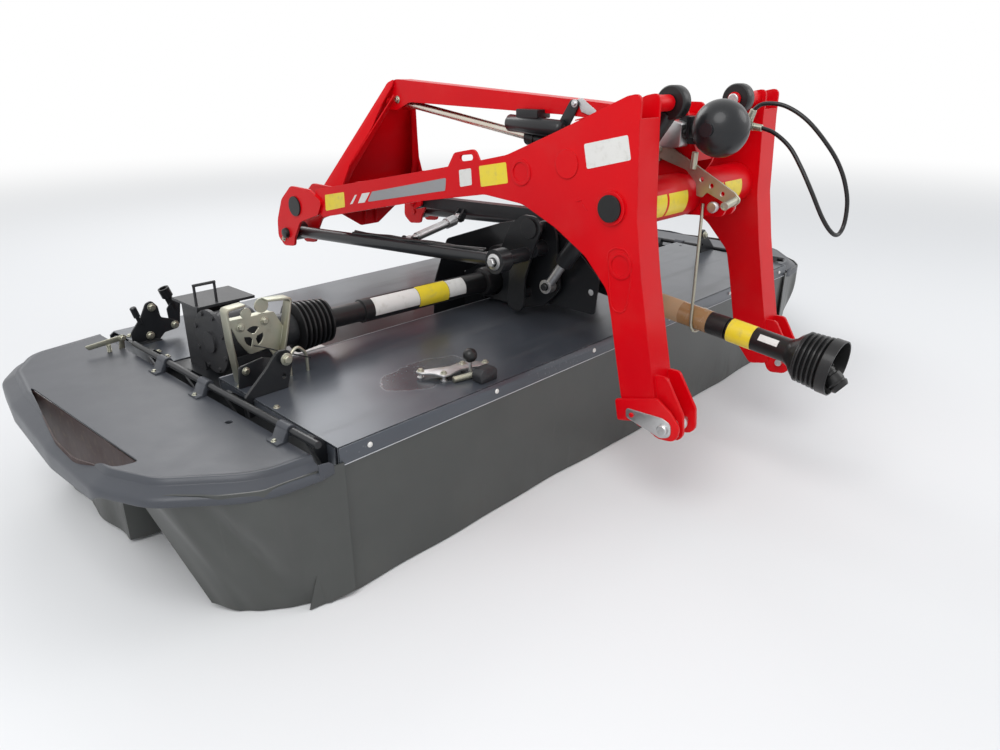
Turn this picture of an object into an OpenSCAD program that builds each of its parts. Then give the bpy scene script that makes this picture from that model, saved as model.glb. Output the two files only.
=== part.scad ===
// Front disc mower conditioner in a pulled three-point carrier frame.
// X runs to the machine's right, Y in the direction of travel, Z up from the ground.

/* [Mower deck] */
// Half width of the deck over its end plates
deck_half = 1530; // [1400:5:1650]
// Height of the hood's folded rear edge
hood_rear_z = 525; // [515:1:535]
// Height of the ridge in front of the rear hood
hood_ridge_z = 550; // [540:1:560]
// Thickness of the hood sheets
hood_t = 4; // [3:0.5:6]
// Thickness of the rubber curtains
curtain_t = 6; // [4:0.5:8]
// Gap under the curtains
curtain_gap = 3; // [2:1:8]

/* [Cutterbar and conditioner] */
// Number of cutting discs
disc_count = 7; // [7:1:7]
// Long half axis of a disc
disc_long_r = 192; // [180:1:196]
// Short half axis of a disc
disc_short_r = 132; // [120:1:140]
// Radius that the knife tips sweep
knife_tip_r = 250; // [240:1:256]
// Radius that the tine tips sweep
tine_tip_r = 190; // [180:1:194]
// Radius of the rotor tube
rotor_tube_r = 82; // [70:1:90]
// Tines along one row of the rotor
tine_columns = 18; // [14:1:20]

/* [Side guards] */
// Distance of a guard's hinge axis from the end plates
guard_hinge_gap = 45; // [42:1:60]
// Height of the hinge axis
guard_hinge_z = 540; // [536:1:546]
// Radius of the hinge rod
hinge_rod_r = 12; // [10:0.5:14]
// Width of a side guard beyond its hinge
guard_reach = 515; // [480:5:540]

/* [Carrier frame] */
// Distance of the side plates' outer faces from the middle
frame_outer_x = 500; // [490:5:520]
// Width of a side plate box
frame_box_w = 120; // [110:5:130]
// Thickness of the frame sheets
frame_t = 10; // [8:1:12]
// Radius of the cross tube at the headstock
rear_tube_r = 80; // [70:1:84]
// Radius of the cross tube at the arms' front ends
front_tube_r = 62; // [55:1:66]
// Radius of a lower hitch pin
hitch_pin_r = 14; // [11:1:16]
// Half gap of the top link clevis
top_clevis_half = 27; // [26:1:30]

/* [Links and cylinders] */
// Radius of the lower link tubes
lower_link_r = 29; // [26:1:32]
// Half width of the upper link
upper_link_half = 25; // [20:1:30]
// Radius of the relief cylinder barrels
relief_barrel_r = 38; // [34:1:40]
// Radius of the relief cylinder rods
relief_rod_r = 20; // [18:1:22]
// Radius of the top cylinder's barrel
top_barrel_r = 34; // [30:1:36]
// Radius of the top cylinder's rod
top_rod_r = 19; // [17:1:22]
// Radial play of rods, pins and shafts
play = 0.05; // [0.02:0.01:0.09]
// Gap between a piece and the seat it rests on
seat = 0.2; // [0.1:0.05:0.3]

/* [Drive shafts] */
// Radius of the input shaft's guard tube
input_tube_r = 38; // [34:1:42]
// Radius of the side shaft's guard tube
side_tube_r = 48; // [44:1:52]
// Radius of the splined bore in the input yoke
spline_r = 17.5; // [17.5:0.5:17.5]
// Radius of the accumulator ball
ball_r = 98; // [92:1:104]
// Diameter of the hydraulic hose
hose_d = 15; // [13:1:17]

/* [Hidden] */
$fn = 48;

// Colours of the finishes
red = [0.76, 0.02, 0.07];
sheet_grey = [0.33, 0.35, 0.38];
guard_grey = [0.30, 0.32, 0.35];
curtain_grey = [0.26, 0.26, 0.25];
black = [0.08, 0.08, 0.09];
cast_grey = [0.22, 0.22, 0.23];
steel = [0.62, 0.63, 0.64];
zinc = [0.70, 0.70, 0.56];
rod_plated = [0.72, 0.66, 0.55];

// Places in the side view, each [y, z]
rear_y = -500;
ridge_y = 200;
front_y = 1200;
link_rear = [-124, 830];
link_front = [1351, 752];
upper_rear = [-145, 942];
upper_front = [854, 915];
relief_top = [-750, 1447];
relief_foot = [-215, 700];
apex = [1012, 1407];
top_foot = [-190, 1236];
rear_tube = [-703, 1116];
front_tube = [1245, 903];
hitch_pin = [-1000, 387];
top_pin = [-851, 1084];
rotor_axis = [270, 265];
disc_y = 800;
input_start = [0, 727];
input_slope = 6.76;

// Widths that follow from the driving sizes
frame_inner_x = frame_outer_x - frame_box_w;
frame_mid_x = frame_outer_x - frame_box_w / 2;
hitch_half = frame_mid_x - 5;
guard_hinge_x = deck_half + guard_hinge_gap;
guard_outer_x = guard_hinge_x + guard_reach;
disc_pitch = 2 * (deck_half - 300) / (disc_count - 1);
tower_x = 268;
tower_t = 12;
relief_x = 235;
relief_pin_r = 14;
trough_z = 500;
trough_front_y = 620;
beam_front_y = 600;

function unit(v) = v / norm(v);
function left_normal(p, q) = let(u = unit(q - p)) [-u[1], u[0]];
function shifted(path, i, t) =
    i == 0 ? path[0] + t * left_normal(path[0], path[1]) :
    i == len(path) - 1 ? path[i] + t * left_normal(path[i - 1], path[i]) :
    let(a = left_normal(path[i - 1], path[i]), b = left_normal(path[i], path[i + 1]), m = unit(a + b))
    path[i] + m * t / (m * a);
// Folded sheet of thickness t to the left of a path
function folded(path, t) = concat(path, [for (i = [len(path) - 1:-1:0]) shifted(path, i, t)]);
// Point q of a corner, and the corner list moved inwards by t for corners that run anticlockwise
function spot(c) = [c[0], c[1]];
function inset(corners, t) = let(n = len(corners)) [for (i = [0:n - 1])
    let(q = spot(corners[i]), a = left_normal(spot(corners[(i + n - 1) % n]), q),
        b = left_normal(q, spot(corners[(i + 1) % n])), m = unit(a + b), bend = a[0] * b[1] - a[1] * b[0],
        moved = q + m * t / (m * a)) [moved[0], moved[1], max(0, corners[i][2] - t * sign(bend))]];
// Outline whose corners [a, b, radius] are rounded with n chords each, as far as their edges allow
function rounded(corners, n = 4) = let(c = len(corners)) [for (i = [0:c - 1])
    let(q = spot(corners[i]), p = spot(corners[(i + c - 1) % c]), s = spot(corners[(i + 1) % c]),
        u = unit(p - q), v = unit(s - q), half = acos(u * v) / 2,
        r = min(corners[i][2], 0.48 * min(norm(p - q), norm(s - q)) * tan(half)),
        centre = q + unit(u + v) * r / sin(half),
        start = q + u * r / tan(half) - centre, stop = q + v * r / tan(half) - centre,
        a0 = atan2(start[1], start[0]), turn = atan2(stop[1], stop[0]) - a0,
        sweep = turn > 180 ? turn - 360 : turn < -180 ? turn + 360 : turn)
    each r < 0.5 ? [q] : [for (k = [0:n]) centre + r * [cos(a0 + sweep * k / n), sin(a0 + sweep * k / n)]]];

// Side view drawings [y, z] extruded from x0 to x1
module along_x(x0, x1) {
    translate([x0, 0, 0]) rotate([90, 0, 90]) linear_extrude(x1 - x0) children();
}

// Rear view drawings [x, z] extruded from y0 to y1
module along_y(y0, y1) {
    translate([0, y1, 0]) rotate([90, 0, 0]) linear_extrude(y1 - y0) children();
}

// Sheet of thickness t that leans from the path low at z0 to the path high at z1, to their left
module leaning(low, high, z0, z1, t) {
    a = folded(low, t);
    b = folded(high, t);
    n = len(a);
    polyhedron(concat([for (q = a) [q[0], q[1], z0]], [for (q = b) [q[0], q[1], z1]]),
        concat([[for (i = [0:n - 1]) i], [for (i = [n - 1:-1:0]) n + i]],
            [for (i = [0:n - 1]) [i, n + i, n + (i + 1) % n, (i + 1) % n]]), convexity = 4);
}

module both_sides() {
    children();
    mirror([1, 0, 0]) children();
}

// Round bar across the machine at a place in the side view
module bar_x(p, r, x0, x1) {
    translate([x0, p[0], p[1]]) rotate([0, 90, 0]) cylinder(r = r, h = x1 - x0);
}

// Round bar from point a to point b
module bar(a, b, r) {
    v = b - a;
    translate(a) rotate([0, acos(v[2] / norm(v)), atan2(v[1], v[0])]) cylinder(r = r, h = norm(v));
}

// Round bar in the side view plane at x, from p to q
module bar_yz(x, p, q, r) {
    bar([x, p[0], p[1]], [x, q[0], q[1]], r);
}

// Deck

module main_beam() color(black) {
    along_x(-deck_half + 8, deck_half - 8)
        polygon(rounded([[440, 385, 10], [beam_front_y, 385, 10], [beam_front_y, trough_z - 6, 10], [440,
            trough_z - 6, 10]]));
    along_x(-deck_half + 8, deck_half - 8)
        polygon(folded([[ridge_y + seat, trough_z - 6], [trough_front_y, trough_z - 6]], 6));
}

module rear_hood() color(sheet_grey) {
    difference() {
        along_x(-deck_half, deck_half) polygon(folded([[rear_y + hood_t, hood_rear_z - 62],
            [rear_y + hood_t, hood_rear_z - hood_t], [ridge_y, hood_ridge_z - hood_t], [ridge_y, trough_z]],
                hood_t));
        for (s = [-1, 1]) translate([s * (deck_half - 60), ridge_y - 60, 0]) cylinder(r = 9, h = 700);
    }
}

module front_hood() color(sheet_grey) {
    along_x(-deck_half, deck_half) polygon(folded([[front_y - hood_t, 330], [front_y - hood_t, trough_z - 30],
        [front_y - 60, trough_z + seat], [beam_front_y, trough_z + seat]], -hood_t));
}

module end_plates() color(sheet_grey) both_sides() {
    difference() {
        union() {
            along_x(deck_half - 8, deck_half - 2) polygon(rounded([[rear_y + 20, 60, 30], [rear_y + 60, 2,
                10],
                [520, 2, 10], [640, 60, 40], [1120, 60, 80], [front_y - 14, 300, 40], [front_y - 14,
                    trough_z - 40, 0],
                [front_y - 70, trough_z - 14, 0], [trough_front_y, trough_z - 10, 0], [ridge_y - 6,
                    trough_z - 10, 0],
                [ridge_y - 6, hood_ridge_z - 10, 0], [rear_y + 20, hood_rear_z - 10, 0]]));
            along_x(deck_half - 60, deck_half - 7) polygon([[rear_y + 60, 0], [520, 0], [520, 8],
                [rear_y + 60, 8]]);
            bar_x(rotor_axis, 62, deck_half - 40, deck_half - 7);
            bar_x(rotor_axis, 74, deck_half - 3, deck_half + 16);
        }
        bar_x(rotor_axis, 30 + play, deck_half - 60, deck_half + 8);
    }
}

module rear_curtain() color(curtain_grey) {
    along_y(rear_y - curtain_t, rear_y)
        polygon([[-deck_half - 130, curtain_gap], [deck_half + 130, curtain_gap], [deck_half + 110, 75],
            [deck_half + 4, 130], [deck_half, hood_rear_z - 4], [-deck_half, hood_rear_z - 4],
                [-deck_half - 4, 130],
            [-deck_half - 110, 75]]);
    along_x(-deck_half + 2, deck_half - 2) polygon([[rear_y - curtain_t - 12, hood_rear_z - 66],
        [rear_y - curtain_t, hood_rear_z - 66], [rear_y - curtain_t, hood_rear_z - 6],
            [rear_y - curtain_t - 12, hood_rear_z - 12]]);
    along_x(-deck_half - 120, deck_half + 120) polygon([[rear_y - curtain_t - 5, curtain_gap],
        [rear_y - curtain_t, curtain_gap], [rear_y - curtain_t, curtain_gap + 34], [rear_y - curtain_t - 5,
            curtain_gap + 34]]);
}

module front_curtain() color(curtain_grey) {
    along_y(front_y, front_y + curtain_t) polygon([[-deck_half, 40], [deck_half, 40],
        [deck_half, trough_z - 60], [-deck_half, trough_z - 60]]);
}

// Flat oil bath bar with a hub and spindle under each disc and a skid shoe below it
disc_z = 92;
hub_top_z = disc_z - 5;
spindle_r = 20;
module cutterbar() color(cast_grey) {
    along_x(-deck_half + 8 + seat, deck_half - 8 - seat) polygon(rounded([[disc_y - 110, 28, 6],
        [disc_y + 60, 22, 6],
        [disc_y + 125, 36, 4], [disc_y + 125, 50, 4], [disc_y + 40, 66, 6], [disc_y - 110, 66, 8]]));
    for (i = [0:disc_count - 1]) translate([(i - (disc_count - 1) / 2) * disc_pitch, disc_y, 0]) {
        translate([0, 0, 40]) cylinder(r = 78, h = hub_top_z - 40);
        cylinder(r = spindle_r, h = disc_z + 40);
        along_x(-95, 95) polygon([[-190, 30], [-150, 4], [-120, 0], [90, 0], [150, 30], [146, 38], [88, 12],
            [-118, 12], [-148, 14], [-180, 40]]);
        translate([-60, -110, 8]) cube([120, 30, 30]);
    }
}

module swath_boards() color(black) both_sides() {
    translate([deck_half - 300, -300, 0]) rotate([0, 0, 12]) translate([0, 0, 120]) cube([6, 330, 330]);
    translate([deck_half - 330, -160, 449]) cylinder(r = 14, h = hood_z(-174) - hood_t - seat - 449);
    translate([deck_half - 332, -170, 440]) cube([14, 20, 20]);
}

module rotor() color(black) {
    bar_x(rotor_axis, 30, -deck_half - 4, deck_half + 4);
    bar_x(rotor_axis, rotor_tube_r, -deck_half + 55, deck_half - 55);
    tine_gap = (2 * deck_half - 220) / (tine_columns - 1);
    for (i = [0:tine_columns - 1], k = [0:3])
        translate([-deck_half + 110 + i * tine_gap, rotor_axis[0], rotor_axis[1]])
            rotate([k * 90 + i * 45, 0, 0]) translate([0, 0, rotor_tube_r - 6]) {
                for (s = [-1, 1]) rotate([0, s * 9, 0]) translate([s * 14 - 6, -7, 0])
                    cube([12, 14, tine_tip_r - rotor_tube_r - 2]);
                translate([-26, -14, 0]) cube([52, 28, 18]);
            }
}

// Oval disc with two swinging knives at its narrow ends
module disc(i) color(steel) {
    translate([(i - (disc_count - 1) / 2) * disc_pitch, disc_y, 0]) rotate([0, 0, i % 2 == 0 ? 0 : 90]) {
        difference() {
            union() {
                intersection() {
                    translate([-disc_long_r, -disc_short_r, disc_z]) cube([2 * disc_long_r,
                        2 * disc_short_r, 10]);
                    translate([0, 0, disc_z]) cylinder(r = disc_long_r, h = 10);
                }
                translate([0, 0, disc_z + 9]) cylinder(r1 = 96, r2 = 70, h = 22, $fn = 48);
            }
            translate([0, 0, disc_z - 1]) cylinder(r = spindle_r + play, h = 60);
        }
        for (s = [0, 180]) rotate([0, 0, s]) {
            translate([disc_long_r - 26, 0, disc_z - 10]) cylinder(r = 12, h = 26);
            translate([disc_long_r - 36, -24, disc_z - 6]) cube([knife_tip_r - disc_long_r + 34, 48, 5]);
        }
    }
}

// Black sheet tower that the links and relief cylinders are pinned to
tower_side = rounded([[-37, 946, 20], [-110, 994, 40], [-180, 994, 50], [-212, 950, 40], [-176, 874, 60],
    [-123, 727, 60], [-112, 572, 40], [-22, 572, 36], [-34, 766, 30], [18, 832, 16]]);
tower_rib = rounded([[-47, 950, 20], [-200, 965, 55], [-225, 900, 40], [-250, 680, 32], [-170, 600, 20],
    [-60, 566, 0],
    [ridge_y + 8, 566, 0], [ridge_y + 8, trough_z + seat, 0], [beam_front_y - 30, trough_z + seat, 10],
        [520, 560, 60], [150, 760, 80]]);
mast = rounded([[-225, 835, 0], [-80, 835, 0], [-130, 1210, 30], [-156, 1276, 30], [-222, 1276, 30], [-240,
    1200, 30]]);
module tower() color(black) {
    difference() {
        union() {
            both_sides() {
                along_x(tower_x, tower_x + tower_t) polygon(tower_side);
                along_x(186, 198) polygon(tower_rib);
                along_x(197, tower_x + 1) polygon(folded([[-28, 620], [-36, 746], [6, 833], [-46, 948]], 8));
                bar_x(relief_foot, 30, 197, 208);
                along_x(66, 76) polygon(mast);
                bar_x(link_rear, 30, tower_x + tower_t - 1, frame_mid_x - 34);
                bar_x(upper_rear, 42, tower_x + tower_t - 1, tower_x + tower_t + 8);
                bar_x(relief_foot, relief_pin_r, 190, tower_x);
            }
            bar_x([-150, 850], 34, -tower_x - 1, tower_x + 1);
            bar_x([-66, 640], 26, -tower_x - 1, tower_x + 1);
            bar_x(link_rear, 20, -frame_mid_x - 44, frame_mid_x + 44);
            bar_x(upper_rear, 20, -tower_x - 1, tower_x + 1);
            bar_x(top_foot, 12, -84, 84);
        }
        // The side shaft passes through the left rib
        bar([-230, side_shaft_at(-230)[1], side_shaft_at(-230)[2]], [-181, side_shaft_at(-181)[1],
            side_shaft_at(-181)[2]], 72);
        // The input shaft's joint stands between the ribs
        bar_yz(0, [-140, 708], [10, 725], 90);
    }
}

module shields() color(black) {
    // Sheet in front of the gearbox, across the machine, slotted over the tower's ribs
    difference() {
        along_y(330, 334) polygon(rounded([[-400, trough_z + seat, 0], [260, trough_z + seat, 0], [260,
            850, 30],
            [60, 858, 20], [-304, 836, 24], [-388, 655, 30]]));
        for (x = [-198 - seat, 186 - seat]) translate([x, 320, 0]) cube([12 + 2 * seat, 20, 665]);
    }
    // Sheet beside the input shaft, behind the tower
    difference() {
        along_x(-166, -162) polygon(rounded([[-40, 598, 0], [-60, 870, 0], [-165, 914, 20], [-246, 908, 30],
            [-430, 756, 30],
            [-414, 598, 14]]));
        bar_x([-389, 691], 14, -200, -100);
        bar_x([-150, 850], 34 + seat, -200, -100);
        bar_x(link_rear, 20 + seat, -200, -100);
        bar_x([-66, 640], 26 + seat, -200, -100);
    }
}

module center_gearbox() color(cast_grey) {
    translate([-120, ridge_y + 6, trough_z + seat]) cube([240, 90, 60]);
    along_x(-105, 105) polygon(rounded([[30, 556, 10], [270, 556, 30], [270, 790, 60], [30, 790, 60]]));
    bar_x([150, 655], 70, -150, 150);
    translate([0, 150, 780]) cylinder(r = 24, h = 30);
    // Stub with the fork that holds the input shaft's cross
    bar_yz(0, [60, 725], [36, 727], 50);
    bar_yz(0, [60, 727], [26, 727], 17.5);
    difference() {
        union() {
            for (x = [-34, 24]) translate([x, -20, 705]) cube([10, 58, 44]);
            translate([-34, 24, 705]) cube([68, 14, 44]);
        }
        bar_x(input_start, 8 + play, -50, 50);
    }
}

gear_x = -1380;
gear_axis = [250, 690];
module side_gearbox() color(cast_grey) {
    flange = gear_axis + [85, -53];
    bar_x(flange, 118, gear_x - 97, gear_x - 82);
    bar_x(flange, 104, gear_x - 83, gear_x + 60);
    bar_x(flange, 40, gear_x - 106, gear_x - 96);
    for (a = [22.5:45:360]) bar_x(flange + 106 * [cos(a), sin(a)], 8, gear_x - 103, gear_x - 96);
    bar_x([gear_axis[0] - 50, gear_axis[1] - 30], 62, gear_x + 40, gear_x + 150);
    translate([gear_x - 90, gear_axis[0] + 176, trough_z + seat]) cube([170, 124, 255]);
    translate([gear_x - 110, gear_axis[0] + 130, trough_z + 248]) cube([230, 200, 10]);
    translate([gear_x - 60, gear_axis[0] - 20, trough_z + seat]) cube([150, 200, 90]);
    for (s = [0, 1]) translate([gear_x - 95 + s * 78, gear_axis[0] + 162, trough_z + 252]) cylinder(r = 5, h = 80);
    bar([gear_x - 99, gear_axis[0] + 162, trough_z + 331], [gear_x - 13, gear_axis[0] + 162, trough_z + 331], 5.5);
}

// Plated bracket with two arms bent over at their tops, behind the side gearbox
module gearbox_cradle() color(zinc) {
    y0 = 92;
    foot = hood_z(y0 + 44) + seat;
    translate([gear_x, 0, 0]) {
        along_y(y0, y0 + 44) polygon(folded([[-130, foot], [-174, 812], [-90, 800]], -7));
        along_y(y0, y0 + 44) polygon(folded([[44, foot], [88, 822], [2, 814]], 7));
        along_y(y0 + 30, y0 + 36) difference() {
            polygon(rounded([[-166, 800, 10], [-150, 680, 30], [-103, 668, 20], [-40, 606, 20], [54, 614,
                10], [80, 768, 10]]));
            for (x = [-101, -10]) translate([x, 748]) circle(r = 7);
            translate([-54, 701]) polygon([[-30, 14], [-22, -8], [0, -22], [22, -8], [30, 14], [0, 4]]);
        }
        along_y(y0, y0 + 6) polygon([[-134, foot], [52, foot], [52, foot + 50], [-134, foot + 34]]);
    }
}

side_shaft_a = [gear_x + 150 + 3, gear_axis[0] - 50, gear_axis[1] - 30];
side_shaft_b = [-150 - seat - 3.2, 150, 655];
side_shaft_dir = unit(side_shaft_b - side_shaft_a);
function side_shaft_at(x) = side_shaft_a + side_shaft_dir * (x - side_shaft_a[0]) / side_shaft_dir[0];
module side_shaft() color(black) {
    a = side_shaft_a;
    b = side_shaft_b;
    u = side_shaft_dir;
    bar(a, b, side_tube_r - 8);
    bar(a + u * 330, b - u * 40, side_tube_r);
    for (k = [0:7]) bar(a + u * (4 + k * 32), a + u * (22 + k * 32), 92 - k * 4);
    bar(a, a + u * 250, 56);
    bar(b - u * 110, b, 66);
}

module hinge_rods() color(black) both_sides() {
    translate([guard_hinge_x, rear_y + 30, guard_hinge_z]) rotate([-90, 0, 0]) cylinder(r = hinge_rod_r,
        h = front_y - rear_y - 430);
    for (y = [rear_y + 60, 40, 330, 640]) difference() {
        along_y(y, y + 30) polygon([[deck_half + seat, guard_hinge_z - 100], [deck_half + 12,
            guard_hinge_z - 100],
            [guard_hinge_x + 6, guard_hinge_z - 14], [guard_hinge_x + 6, guard_hinge_z + 6],
            [guard_hinge_x - 10, guard_hinge_z + 14], [deck_half + seat, guard_hinge_z - 16]]);
        translate([guard_hinge_x, y - 1, guard_hinge_z]) rotate([-90, 0, 0])
            cylinder(r = hinge_rod_r - 0.5, h = 32);
    }
    along_x(deck_half - 2, deck_half + 2) polygon([[rear_y + 60, guard_hinge_z - 120], [700,
        guard_hinge_z - 120],
        [700, guard_hinge_z - 56], [rear_y + 60, guard_hinge_z - 56]]);
}

hood_slope = (hood_ridge_z - hood_rear_z) / (ridge_y - rear_y);
function hood_z(y) = hood_rear_z + hood_slope * (y - rear_y);
module deck_adjuster() color(cast_grey) translate([-840, -290, hood_z(-280) + seat]) {
    translate([-110, -60, 0]) cube([240, 70, 10]);
    translate([-20, -40, 9]) cube([90, 40, 30]);
    translate([100, -50, 9]) cube([60, 60, 34]);
    translate([20, -20, 30]) rotate([0, -12, 0]) cylinder(r = 7, h = 60);
    translate([8, -20, 96]) sphere(r = 20, $fn = 24);
}

module stow_bracket() color(black) {
    hood_top = trough_z + hood_t + 2 * seat;
    x0 = -1480;
    y0 = 800;
    along_x(x0 - 4, x0 + 4) polygon(rounded([[y0 - 60, hood_top, 0], [y0 + 110, hood_top, 0], [y0 + 130,
        620, 20], [y0 + 60, 690, 20], [y0 - 40, 640, 20]]));
    along_y(y0 + 40, y0 + 48) polygon(rounded([[x0, hood_top, 0], [x0 + 150, hood_top, 0], [x0 + 170, 640,
        30], [x0 + 60, 720, 30], [x0, 700, 10]]));
    bar([x0 + 120, y0 + 44, 690], [x0 + 60, y0 + 130, 740], 26);
    bar([x0 - 2, y0 + 40, 640], [x0 - 60, y0 + 100, 680], 22);
    bar([x0 - 10, y0 - 20, 560], [x0 - 10, y0 - 160, 560], 9);
}

module deck_fittings() color(black) {
    translate([1150, ridge_y - 40, hood_z(ridge_y - 34) + seat]) {
        translate([-34, -5, 0]) cube([10, 10, 46]);
        translate([24, -5, 0]) cube([10, 10, 46]);
        translate([-34, -5, 40]) cube([68, 10, 10]);
    }
    // Arms that reach from the hood over its ends
    foot = hood_z(-24) + seat;
    both_sides() translate([deck_half, 0, 0]) {
        along_y(-36, -24) difference() {
            polygon(rounded([[4, 478, 0], [24, 478, 6], [30, 552, 14], [-56, 628, 30], [-104, 680, 30],
                [-150, 676, 24],
                [-158, 640, 24], [-128, foot, 0], [4, foot, 0]]));
            translate([-118, 588]) circle(r = 9);
        }
        translate([-126, -20, 650]) rotate([90, 0, 0]) cylinder(r = 17, h = 30);
    }
}

// Side guards

guard_t = 5;
guard_lip_z = 400;
guard_edge_z = 485;
guard_top_z = 505;
guard_chamfer = 42;
guard_plan = [[guard_hinge_x - 27, -510, 4], [guard_hinge_x + 225, -500, 260], [guard_outer_x - 85, -300,
    160],
    [guard_outer_x - 60, -135, 60], [guard_outer_x - 2, -50, 80], [guard_outer_x, 250, 600],
        [guard_outer_x - 30, 700, 400],
    [guard_outer_x - 70, 950, 150], [guard_outer_x - 190, 1140, 200], [guard_hinge_x - 27, 1200, 4]];
guard_opening = [[guard_outer_x - 140, -118, 14], [guard_outer_x - 78, -104, 50], [guard_outer_x - 24, 60,
    200],
    [guard_outer_x - 28, 230, 240], [guard_outer_x - 108, 740, 8]];

// The guard's body moved inwards and down by t, with a chamfer round its upper edge
module guard_body(t) {
    wide = rounded([for (c = inset(guard_plan, t)) [c[0], c[1], max(1, c[2])]], 6);
    narrow = rounded([for (c = inset(guard_plan, t + guard_chamfer)) [c[0], c[1], max(1, c[2])]], 6);
    n = len(wide);
    polyhedron(concat([for (q = wide) [q[0], q[1], guard_lip_z - t]], [for (q = wide) [q[0], q[1],
        guard_edge_z - t]],
        [for (q = narrow) [q[0], q[1], guard_top_z - t]]),
        concat([[for (i = [0:n - 1]) i], [for (i = [n - 1:-1:0]) 2 * n + i]],
            [for (k = [0, n], i = [0:n - 1]) [k + i, k + n + i, k + n + (i + 1) % n, k + (i + 1) % n]]),
                convexity = 4);
}

module guard() color(guard_grey) {
    difference() {
        union() {
            difference() {
                guard_body(0);
                guard_body(guard_t);
                translate([guard_hinge_x - 100, -600, guard_lip_z - 10]) cube([115, 1900, 200]);
                // The rim rises towards the rear
                along_x(guard_hinge_x, guard_outer_x + 40) polygon([[-560, guard_lip_z - 10], [-30,
                    guard_lip_z - 10],
                    [-40, guard_lip_z], [-190, guard_lip_z + 50], [-560, guard_lip_z + 50]]);
            }
            along_y(-455, 1170) polygon([[guard_hinge_x + 19, guard_top_z - guard_t], [guard_hinge_x + 70,
                guard_top_z - guard_t],
                [guard_hinge_x + 40, guard_hinge_z - 14], [guard_hinge_x + 19, guard_hinge_z - 14]]);
            along_y(-508, -500) polygon([[guard_hinge_x - 22, 450], [guard_hinge_x + 25, 450],
                [guard_hinge_x + 25, guard_edge_z], [guard_hinge_x - 22, guard_edge_z]]);
            translate([0, 0, guard_top_z - 50]) linear_extrude(46) difference() {
                polygon(rounded(inset(guard_opening, -guard_t), 6));
                polygon(rounded(guard_opening, 6));
            }
        }
        translate([0, 0, guard_top_z - 60]) linear_extrude(80) polygon(rounded(guard_opening, 6));
        translate([guard_hinge_x + 67, -66, guard_top_z - 20]) cylinder(r = 12, h = 30);
    }
    for (y = [-330, 180, 500]) difference() {
        translate([guard_hinge_x, y, guard_hinge_z]) rotate([-90, 0, 0]) {
            cylinder(r = hinge_rod_r + 6, h = 60);
            translate([0, -4, 0]) cube([24, 20, 60]);
        }
        translate([guard_hinge_x, y - 1, guard_hinge_z]) rotate([-90, 0, 0])
            cylinder(r = hinge_rod_r + play, h = 62);
    }
}

// Where the curtains hang from the guard and where their lower edges lie, seen from above
guard_hem_top = [[guard_hinge_x - 37, -487], [guard_hinge_x + 190, -478], [guard_hinge_x + 292, -415],
    [guard_outer_x - 123, -305], [guard_outer_x - 87, -165]];
guard_hem_foot = [[guard_hinge_x - 37, -489], [guard_hinge_x + 67, -450], [guard_hinge_x + 160, -395],
    [guard_hinge_x + 240, -320], [guard_hinge_x + 293, -255]];
guard_fore_hem = [[guard_hinge_x + 145, 286], [guard_outer_x - 197, 296], [guard_outer_x - 187, 640],
    [guard_outer_x - 218, 940], [guard_hinge_x + 165, 1080], [guard_hinge_x + 40, 1120]];
module guard_curtain() color(curtain_grey) {
    leaning(guard_hem_foot, guard_hem_top, curtain_gap, guard_edge_z - guard_t - 2, curtain_t);
    leaning(guard_fore_hem, guard_fore_hem, curtain_gap + 9, guard_top_z - guard_t, curtain_t);
    // Clamp that holds the rear curtain to the rim
    translate([guard_hinge_x + 30, -499, guard_edge_z - 30]) cube([90, 18, 22]);
}

// Links

module lower_link(strut_lug = false) color(black) {
    // Long stud that the stabiliser's lower eye slides on
    if (strut_lug) translate([-strut_foot[0], strut_foot[1], strut_foot[2]]) {
        translate([0, -36, 0]) rotate([-90, 0, 0]) cylinder(r = 8, h = 84);
        translate([0, 42, 0]) rotate([-90, 0, 0]) cylinder(r = 13, h = 8);
        along_y(-38, -26) polygon([[-16, -14], [44, -44], [50, 8], [10, 18], [-14, 14]]);
    }
    difference() {
        union() {
            bar_yz(frame_mid_x, link_rear + [40, 0], link_front - [30, 0], lower_link_r);
            bar_x(link_rear, 50, frame_mid_x - 30, frame_mid_x + 30);
            bar_x(link_front, 46, frame_mid_x - 35, frame_mid_x + 35);
        }
        bar_x(link_rear, 20 + play, frame_mid_x - 40, frame_mid_x + 40);
        bar_x(link_front, 16 + play, frame_mid_x - 40, frame_mid_x + 40);
    }
}

strut_top = [-44, 520, 872];
strut_foot = [-392, 486, 822];
module upper_link() color(black) {
    difference() {
        union() {
            along_x(-upper_link_half, upper_link_half) polygon([upper_rear + [20, 30], upper_rear + [20, -30],
                upper_front + [-20, -28], upper_front + [-20, 28]]);
            bar_x(upper_rear, 42, -60, 60);
            bar_x(upper_front, 38, -34, 34);
            for (y = [strut_top[1] - 24, strut_top[1] + 14]) along_y(y, y + 10)
                polygon([[-20, 905], [-20, 880], [-36, 856], [-54, 856], [-62, 868], [-60, 886], [-30, 914]]);
        }
        bar_x(upper_rear, 20 + play, -70, 70);
        bar_x(upper_front, 16 + 3.4, -40, 40);
        translate(strut_top - [0, 30, 0]) rotate([-90, 0, 0]) cylinder(r = 8 - play, h = 60);
    }
    translate(strut_top - [0, 26, 0]) rotate([-90, 0, 0]) cylinder(r = 8, h = 52);
}

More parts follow.
